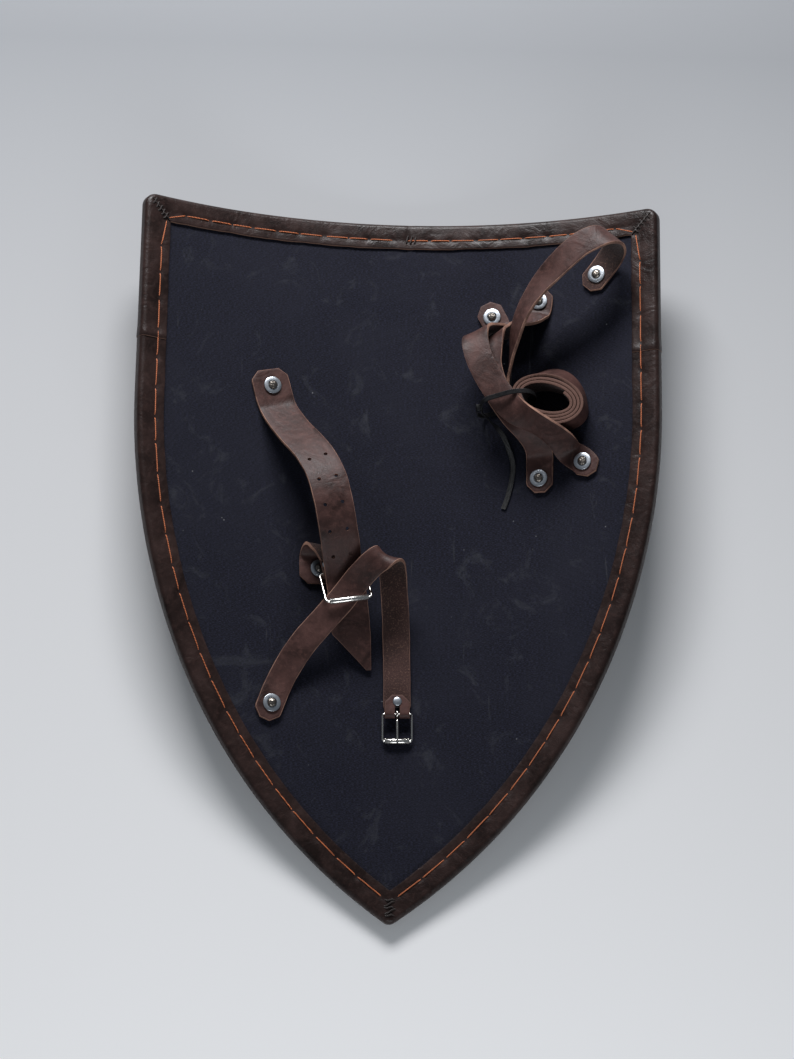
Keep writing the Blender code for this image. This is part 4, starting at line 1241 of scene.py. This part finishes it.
def guige_buckle_strap():
    """Runs over the arm strap and under the large roller, loops over and hangs with the small buckle."""
    narrow = sizes().narrow_strap
    rows = [(-5.5, -15.5, 0, 160, 0), (0, 0, 0, 160, 0), (4.5, 13, 0.5, 158, 0), (11.5, 29, 5, 153, 0),
            (27.5, 55, 15, 146, 0), (54, 86, 26, 143, 0), (65, 99, 28.4, 143, 0),
            (73, 109.5, 30.6, 143.5, 0), (80, 118, 36.5, 145, 4), (90, 128, 46, 150, 4),
            (103, 138, 51, 157, 2), (111, 139, 41, 160, 2), (113, 130, 29, 163, 2),
            (114.5, 116, 20, 170, 0), (116.5, 96, 11, 178, 0), (118, 72, 4.5, 181, 0),
            (119, 40, 3.8, 181, 0), (119.5, 15, 3.7, 181, 0)]
    stations = softened(route("guige_buckle_strap", rows, narrow), 18)
    place = small_buckle_frame()
    bar = place.translation
    axis = (place.to_3x3() @ Vector((1.0, 0.0, 0.0))).normalized()
    radius = wrap_radius(SMALL_BUCKLE_WIRE)
    start = -(place.to_3x3() @ Vector((0.0, 0.0, 1.0)))
    stations += bridge(stations[-1], (bar + start * radius, axis))
    stations += wrap(bar, axis, start, radius, 180.0)
    ending = stations[-1][0]
    back = place.to_3x3() @ Vector((0.0, -1.0, -FLAP_SLOPE)).normalized()
    stations += run_on(stations, back * FLAP_LENGTH, axis)

    def trimmed(left, right, to_end):
        limit = SMALL_BUCKLE_END / 2
        if to_end < FLAP_LENGTH + math.pi * radius + FLAP_NECK:
            left, right = max(left, -limit), min(right, limit)
        return left, right

    item = leather_strap("guige_buckle_strap", softened(stations, 1), narrow, edges=trimmed, seed=3.0)
    cut_slots(item, place, (0.0,), SMALL_SLOT_LENGTH)
    up = Vector((0.0, 0.0, 1.0))
    middle = ending + back * FLAP_RIVET - up * radius
    small_rivet("flap_rivet", "small_rivet_flap", square_frame(middle, up, axis),
                2 * radius + sizes().strap_leather + FIT)


def coil_point(turned_by):
    """A place on the inner face under the coil's middle line, after so many degrees."""
    shrink = (sizes().strap_leather + FIT) * turned_by / 360.0
    angle = math.radians(COIL_START + turned_by)
    along = (COIL_LONG_HALF - shrink) * math.cos(angle)
    across = (COIL_SHORT_HALF - shrink) * math.sin(angle)
    slant = math.radians(COIL_TURN)
    x = COIL_CENTRE[0] + along * math.cos(slant) - across * math.sin(slant)
    y = COIL_CENTRE[1] + along * math.sin(slant) + across * math.cos(slant)
    return over_face(x, y, 0.0)


def coil_stations():
    """The coil stands on its edge. The far edge of its first turn leans out at the top."""
    narrow = sizes().narrow_strap
    steps = int(COIL_TURNS * COIL_STEPS_A_TURN)
    centre = over_face(*COIL_CENTRE, 0.0)
    out = (face_frame(*COIL_CENTRE).to_3x3() @ Vector((0.0, 0.0, 1.0))).normalized()
    stations = []
    for step in range(steps + 1):
        turned_by = COIL_TURNS * 360.0 * step / steps
        flat = coil_point(turned_by) - centre
        flat -= out * flat.dot(out)
        outward = flat.normalized()
        fade = (COIL_UPRIGHT_AFTER - turned_by) / (COIL_UPRIGHT_AFTER - COIL_LEANS_UNTIL)
        fade = min(1.0, max(0.0, fade))
        lean = math.radians(COIL_LEAN * fade * max(outward.y, 0.0))
        side = out * math.cos(lean) - outward * math.sin(lean)
        near_edge = centre + flat + out * (COIL_FOOT + narrow)
        stations.append((near_edge - side * narrow / 2, side))
    return stations


def guige_strap():
    """Loops over from its rivet, dips through the hand straps and is wound into the coil."""
    narrow = sizes().narrow_strap
    rows = [(-10.7, -12.5, 0, -40, 0), (0, 0, 0, -41, 0), (6, 8, 1, -42, 0), (12, 15.5, 9, -43, 0),
            (14.5, 20, 26, -45, 0), (10, 22, 44, -46, 0), (-3, 20, 57, -46, 0), (-22, 12, 61, -46, 0),
            (-40, -3, 59, -44, 8), (-55, -17, 52, -38, 24), (-67, -33, 48, -28, 36),
            (-76, -50, 47, -18, 46), (-81, -65, 43, -14, 56), (-84.5, -84, 32, -10, 72),
            (-85.8, -101, 22.5, -5, 82), (-86.6, -112, 18.3, -3, 87)]
    stations = route("guige_strap", rows, narrow)
    coil = coil_stations()
    stations += bridge(stations[-1], coil[0])
    leather_strap("guige_strap", softened(stations + coil, 3), narrow, end_chamfer=False, seed=4.0,
                  ragged=0.8 * RAGGEDNESS)


def outer_hand_strap():
    narrow = sizes().narrow_strap
    rows = [(-7, 14, 0, 27, 0), (0, 0, 0, 27, 0), (4.3, -9, 0.2, 27, 0), (4, -13, 4, 26, -10),
            (2, -16.5, 10, 26, -6), (-8, -22, 27, 25, 10), (-18, -29, 43, 24, 12),
            (-20, -44, 51, 20, 0), (-15, -63, 53, 20, 0), (-5.5, -82, 52, 26, 0), (5, -98, 50.5, 33, 6),
            (17, -112, 49, 38, 20), (31, -121, 46.5, 38, 38), (45, -128, 40.5, 32, 42),
            (58, -134, 28, 26, 28), (67, -139, 15.5, 22, 8), (71.5, -142.5, 6.8, 22, -8),
            (76.5, -146.3, 1.2, 23, -2), (79.5, -148.6, 0.2, 24, 0), (87, -154.5, 0, 25, 0),
            (94, -167, 0, 25, 0)]
    stations = softened(route("outer_hand_strap_top", rows, narrow))
    leather_strap("outer_hand_strap", stations, narrow, seed=5.0)


def inner_hand_strap():
    narrow = sizes().narrow_strap
    rows = [(1, 13.5, 0, 0, 0), (0, 0, 0, 0, 0), (-1.3, -9.3, 0.7, 2, -2), (-4.5, -14, 5, 6, -10),
            (-9, -19, 9, 14, -6), (-20, -28, 15, 26, 0), (-35, -36, 19.5, 32, 2), (-46, -43, 31, 30, 0),
            (-51, -56, 38, 24, 0), (-52, -76, 39, 16, 0), (-46, -98, 39, 14, 0),
            (-37, -114, 38.5, 16, 0), (-25, -131, 36.5, 18, 0), (-16, -139.5, 32, 16, 0),
            (-8, -147, 23, 11, 0), (-2.5, -153.5, 13, 6, 0), (0, -160, 4, 2, 0), (0, -169, 0.8, 0, 0),
            (0, -182.5, 0, 0, 0), (0, -196.5, 0, 0, 0)]
    stations = softened(route("inner_hand_strap_top", rows, narrow))
    leather_strap("inner_hand_strap", stations, narrow, seed=6.0)


def cable_tie():
    """A black plastic tie round the hand straps and the coil's near turns, its tail hanging below."""
    x0, y0 = RIVETS["outer_hand_strap_top"]
    rows = [(-16, -104, 34, -75, 0), (-16.3, -104, 24, -75, 0), (-13.5, -103.2, 9, -75, 0),
            (-5, -101.2, 2.2, -75, 0), (12, -97, 1.4, -75, 0), (30, -92.5, 1.4, -75, 0),
            (37, -91, 2, -75, 0), (40.5, -90, 8, -75, 0), (40, -90, 22, -75, 0),
            (34.5, -91.5, 38, -75, 0), (26.5, -93.5, 49, -75, 0), (14, -96.5, 57.2, -75, 0),
            (2, -99.5, 56.8, -75, 0), (-8.5, -101.7, 54.5, -75, 0), (-13, -103, 47, -75, 0),
            (-13.2, -103.4, 40, -75, 0), (-13.2, -103.8, 32, -75, 0), (-12, -105, 24, -65, 0),
            (-3, -111, 14, -45, 0), (8, -121, 8, -20, 0), (15, -135, 4.5, 0, 0), (20, -152, 2.5, 5, 0),
            (19, -168, 2, 12, 0), (15, -186, 1.5, 15, 0), (11, -197, 1.5, 18, 0)]
    stations = route("outer_hand_strap_top", rows, TIE_WIDTH, thickness=TIE_THICKNESS)
    ribbon("cable_tie_band", softened(stations), TIE_WIDTH, [tie_nylon], "black_nylon", ["cable_tie"],
           start_chamfer=False, end_chamfer=False, thickness=TIE_THICKNESS, ragged=0.0)
    head_x, head_y, height = TIE_HEAD_PLACE
    place = square_frame(over_face(x0 + head_x, y0 + head_y, height), Vector((0.0, 0.0, 1.0)),
                         Vector(TIE_HEAD_ALONG))
    bm = bmesh.new()
    bmesh.ops.create_cube(bm, size=1.0, matrix=place @ Matrix.Diagonal((*TIE_HEAD, 1.0)))
    bmesh.ops.bevel(bm, geom=bm.edges[:], affect="EDGES", offset=TIE_HEAD_ROUNDING, segments=3,
                    profile=0.5, material=-1)
    bmesh.ops.recalc_face_normals(bm, faces=bm.faces)
    name = "cable_tie_head"
    smooth(add_piece(name, mesh_from(bm, name), [tie_nylon]))


# Stage

def soft_light(name, place, aim, width, height, power, colour):
    data = bpy.data.lights.new(name, "AREA")
    data.shape = "RECTANGLE"
    data.size = width
    data.size_y = height
    data.energy = power
    data.color = colour
    item = linked(name, data)
    item.location = place
    item.rotation_euler = (Vector(aim) - Vector(place)).to_track_quat("-Z", "Y").to_euler()


def stage():
    """Pale floor, soft studio lights and the photo's camera."""
    bm = bmesh.new()
    bmesh.ops.create_grid(bm, x_segments=2, y_segments=2, size=8.0)
    floor = linked("studio_floor", mesh_from(bm, "studio_floor"))
    floor.data.materials.append(studio_paper())
    soft_light("key_light", (-0.25, 1.75, 1.15), (0.0, 0.0, 0.0), 1.2, 0.5, 62.0, (0.98, 0.98, 1.0))
    soft_light("front_light", (0.2, -2.4, 1.0), (0.0, -1.0, 0.0), 1.8, 0.8, 24.0, (0.92, 0.96, 1.0))
    world = bpy.context.scene.world or bpy.data.worlds.new("studio")
    bpy.context.scene.world = world
    world.use_nodes = True
    background = world.node_tree.nodes["Background"]
    background.inputs["Color"].default_value = (0.78, 0.86, 0.95, 1.0)
    background.inputs["Strength"].default_value = 0.13
    data = bpy.data.cameras.new("photo_camera")
    data.sensor_fit = "VERTICAL"
    data.sensor_height = SENSOR
    data.lens = LENS
    camera = linked("photo_camera", data)
    pitch, yaw, roll = (math.radians(angle) for angle in CAMERA_TURN)
    turn = Matrix.Rotation(pitch, 4, "X") @ Matrix.Rotation(yaw, 4, "Y") @ Matrix.Rotation(roll, 4, "Z")
    camera.matrix_world = Matrix.Translation(EYE) @ turn
    bpy.context.scene.camera = camera
    bpy.context.scene.view_settings.view_transform = "Standard"


# Add-on classes

def length(name, description, default):
    return bpy.props.FloatProperty(name=name, description=description, default=default,
                                   unit="LENGTH", precision=4)


def colour(name, description, default):
    return bpy.props.FloatVectorProperty(name=name, description=description, default=default,
                                         subtype="COLOR", size=3, min=0.0, max=1.0)


class ShieldSizes(bpy.types.PropertyGroup):
    """Main sizes of the shield."""
    height: length("Height", "Height from tip to top edge, over the leather", 0.700)
    width_round_curve: length("Width", "Width measured round the curve", 0.527)
    inner_radius: length("Inner radius", "Radius that the board is bent to, at its inner face", 0.500)
    board_thickness: length("Board thickness", "Thickness of the canvas-covered board", 0.009)
    edge_leather: length("Edge leather", "Thickness of the leather folded over the edge", 0.0022)
    edge_reach: length("Edge reach", "How far the edge leather reaches onto each face", 0.0265)
    strap_leather: length("Strap leather", "Thickness of the straps", 0.003)
    wide_strap: length("Wide strap", "Width of the arm strap and its buckle tab", 0.037)
    narrow_strap: length("Narrow strap", "Width of the shoulder and hand straps", 0.026)


class ShieldColours(bpy.types.PropertyGroup):
    """Main colours of the shield and its stage."""
    canvas: colour("Canvas", "Colour of the canvas", (0.0040, 0.0043, 0.0088))
    edge: colour("Edge leather", "Colour of the leather edge", (0.0225, 0.0120, 0.0103))
    strap: colour("Strap leather", "Colour of the straps' grain side", (0.058, 0.0275, 0.0235))
    cut: colour("Cut leather", "Colour of the straps' raw cut edges", (0.42, 0.235, 0.17))
    thread: colour("Thread", "Colour of the stitching", (0.55, 0.155, 0.055))
    zinc: colour("Zinc", "Colour of the washers", (0.58, 0.62, 0.67))
    nickel: colour("Nickel", "Colour of the buckles", (0.78, 0.76, 0.72))
    floor: colour("Floor", "Colour of the studio floor", (0.60, 0.62, 0.65))


class BuildBoard(bpy.types.Operator):
    """Bend the canvas-covered board"""
    bl_idname = "shield.board"
    bl_label = "Canvas Board"

    def execute(self, context):
        board()
        return {"FINISHED"}


class BuildEdge(bpy.types.Operator):
    """Fold the leather round the edge"""
    bl_idname = "shield.edge"
    bl_label = "Leather Edge"

    def execute(self, context):
        edge_binding()
        return {"FINISHED"}


class BuildStitching(bpy.types.Operator):
    """Sew the edge and lace its mitres"""
    bl_idname = "shield.stitching"
    bl_label = "Stitching and Lacing"

    def execute(self, context):
        stitching()
        lacing()
        return {"FINISHED"}


class BuildArmStraps(bpy.types.Operator):
    """Make the arm strap with its punched holes, and its buckle tab"""
    bl_idname = "shield.arm_straps"
    bl_label = "Arm Strap and Tab"

    def execute(self, context):
        arm_strap()
        arm_buckle_tab()
        return {"FINISHED"}


class BuildShoulderStraps(bpy.types.Operator):
    """Make the two parts of the shoulder strap, the long one wound into its coil"""
    bl_idname = "shield.shoulder_straps"
    bl_label = "Shoulder Straps"

    def execute(self, context):
        guige_buckle_strap()
        guige_strap()
        return {"FINISHED"}


class BuildHandStraps(bpy.types.Operator):
    """Make the two hand straps"""
    bl_idname = "shield.hand_straps"
    bl_label = "Hand Straps"

    def execute(self, context):
        outer_hand_strap()
        inner_hand_strap()
        return {"FINISHED"}


class BuildTie(bpy.types.Operator):
    """Tie the coil to the hand straps"""
    bl_idname = "shield.tie"
    bl_label = "Plastic Tie"

    def execute(self, context):
        cable_tie()
        return {"FINISHED"}


class BuildBuckles(bpy.types.Operator):
    """Make both roller buckles"""
    bl_idname = "shield.buckles"
    bl_label = "Roller Buckles"

    def execute(self, context):
        both = (-PRONG_SPREAD / 2, PRONG_SPREAD / 2)
        buckle("large_buckle", large_buckle_frame(), LARGE_BUCKLE_INSIDE, LARGE_BUCKLE_DEPTH,
               LARGE_BUCKLE_WIRE, LARGE_BUCKLE_CORNER, both, LARGE_PRONG_SWING)
        buckle("small_buckle", small_buckle_frame(), SMALL_BUCKLE_INSIDE, SMALL_BUCKLE_DEPTH,
               SMALL_BUCKLE_WIRE, SMALL_BUCKLE_CORNER, (0.0,), SMALL_PRONG_SWING)
        return {"FINISHED"}


class BuildFastenings(bpy.types.Operator):
    """Set the washers and rivets of the strap ends"""
    bl_idname = "shield.fastenings"
    bl_label = "Washers and Rivets"

    def execute(self, context):
        for name in RIVETS:
            fastening(name, sizes().wide_strap if name.startswith("arm") else sizes().narrow_strap)
        return {"FINISHED"}


class BuildStage(bpy.types.Operator):
    """Lay the floor and set the lights and the camera"""
    bl_idname = "shield.stage"
    bl_label = "Stage"

    def execute(self, context):
        stage()
        return {"FINISHED"}


class ShieldPanel(bpy.types.Panel):
    """Sizes, colours and steps of the shield"""
    bl_idname = "VIEW3D_PT_shield"
    bl_label = "Heater Shield"
    bl_space_type = "VIEW_3D"
    bl_region_type = "UI"
    bl_category = "Shield"

    def draw(self, context):
        layout = self.layout
        for group in (context.scene.shield_sizes, context.scene.shield_colours):
            box = layout.box()
            for key in group.__annotations__:
                box.prop(group, key)
        column = layout.column()
        for step in STEPS:
            column.operator(step.bl_idname)


STEPS = (BuildStage, BuildBoard, BuildEdge, BuildStitching, BuildArmStraps, BuildShoulderStraps,
         BuildHandStraps, BuildTie, BuildBuckles, BuildFastenings)
CLASSES = (ShieldSizes, ShieldColours) + STEPS + (ShieldPanel,)


def register():
    for each in CLASSES:
        bpy.utils.register_class(each)
    bpy.types.Scene.shield_sizes = bpy.props.PointerProperty(type=ShieldSizes)
    bpy.types.Scene.shield_colours = bpy.props.PointerProperty(type=ShieldColours)


def unregister():
    del bpy.types.Scene.shield_colours
    del bpy.types.Scene.shield_sizes
    for each in reversed(CLASSES):
        bpy.utils.unregister_class(each)


def main():
    register()
    bpy.ops.shield.stage()
    bpy.ops.shield.board()
    bpy.ops.shield.edge()
    bpy.ops.shield.stitching()
    bpy.ops.shield.arm_straps()
    bpy.ops.shield.shoulder_straps()
    bpy.ops.shield.hand_straps()
    bpy.ops.shield.tie()
    bpy.ops.shield.buckles()
    bpy.ops.shield.fastenings()
    bpy.context.view_layer.update()


if __name__ == "__main__":
    main()
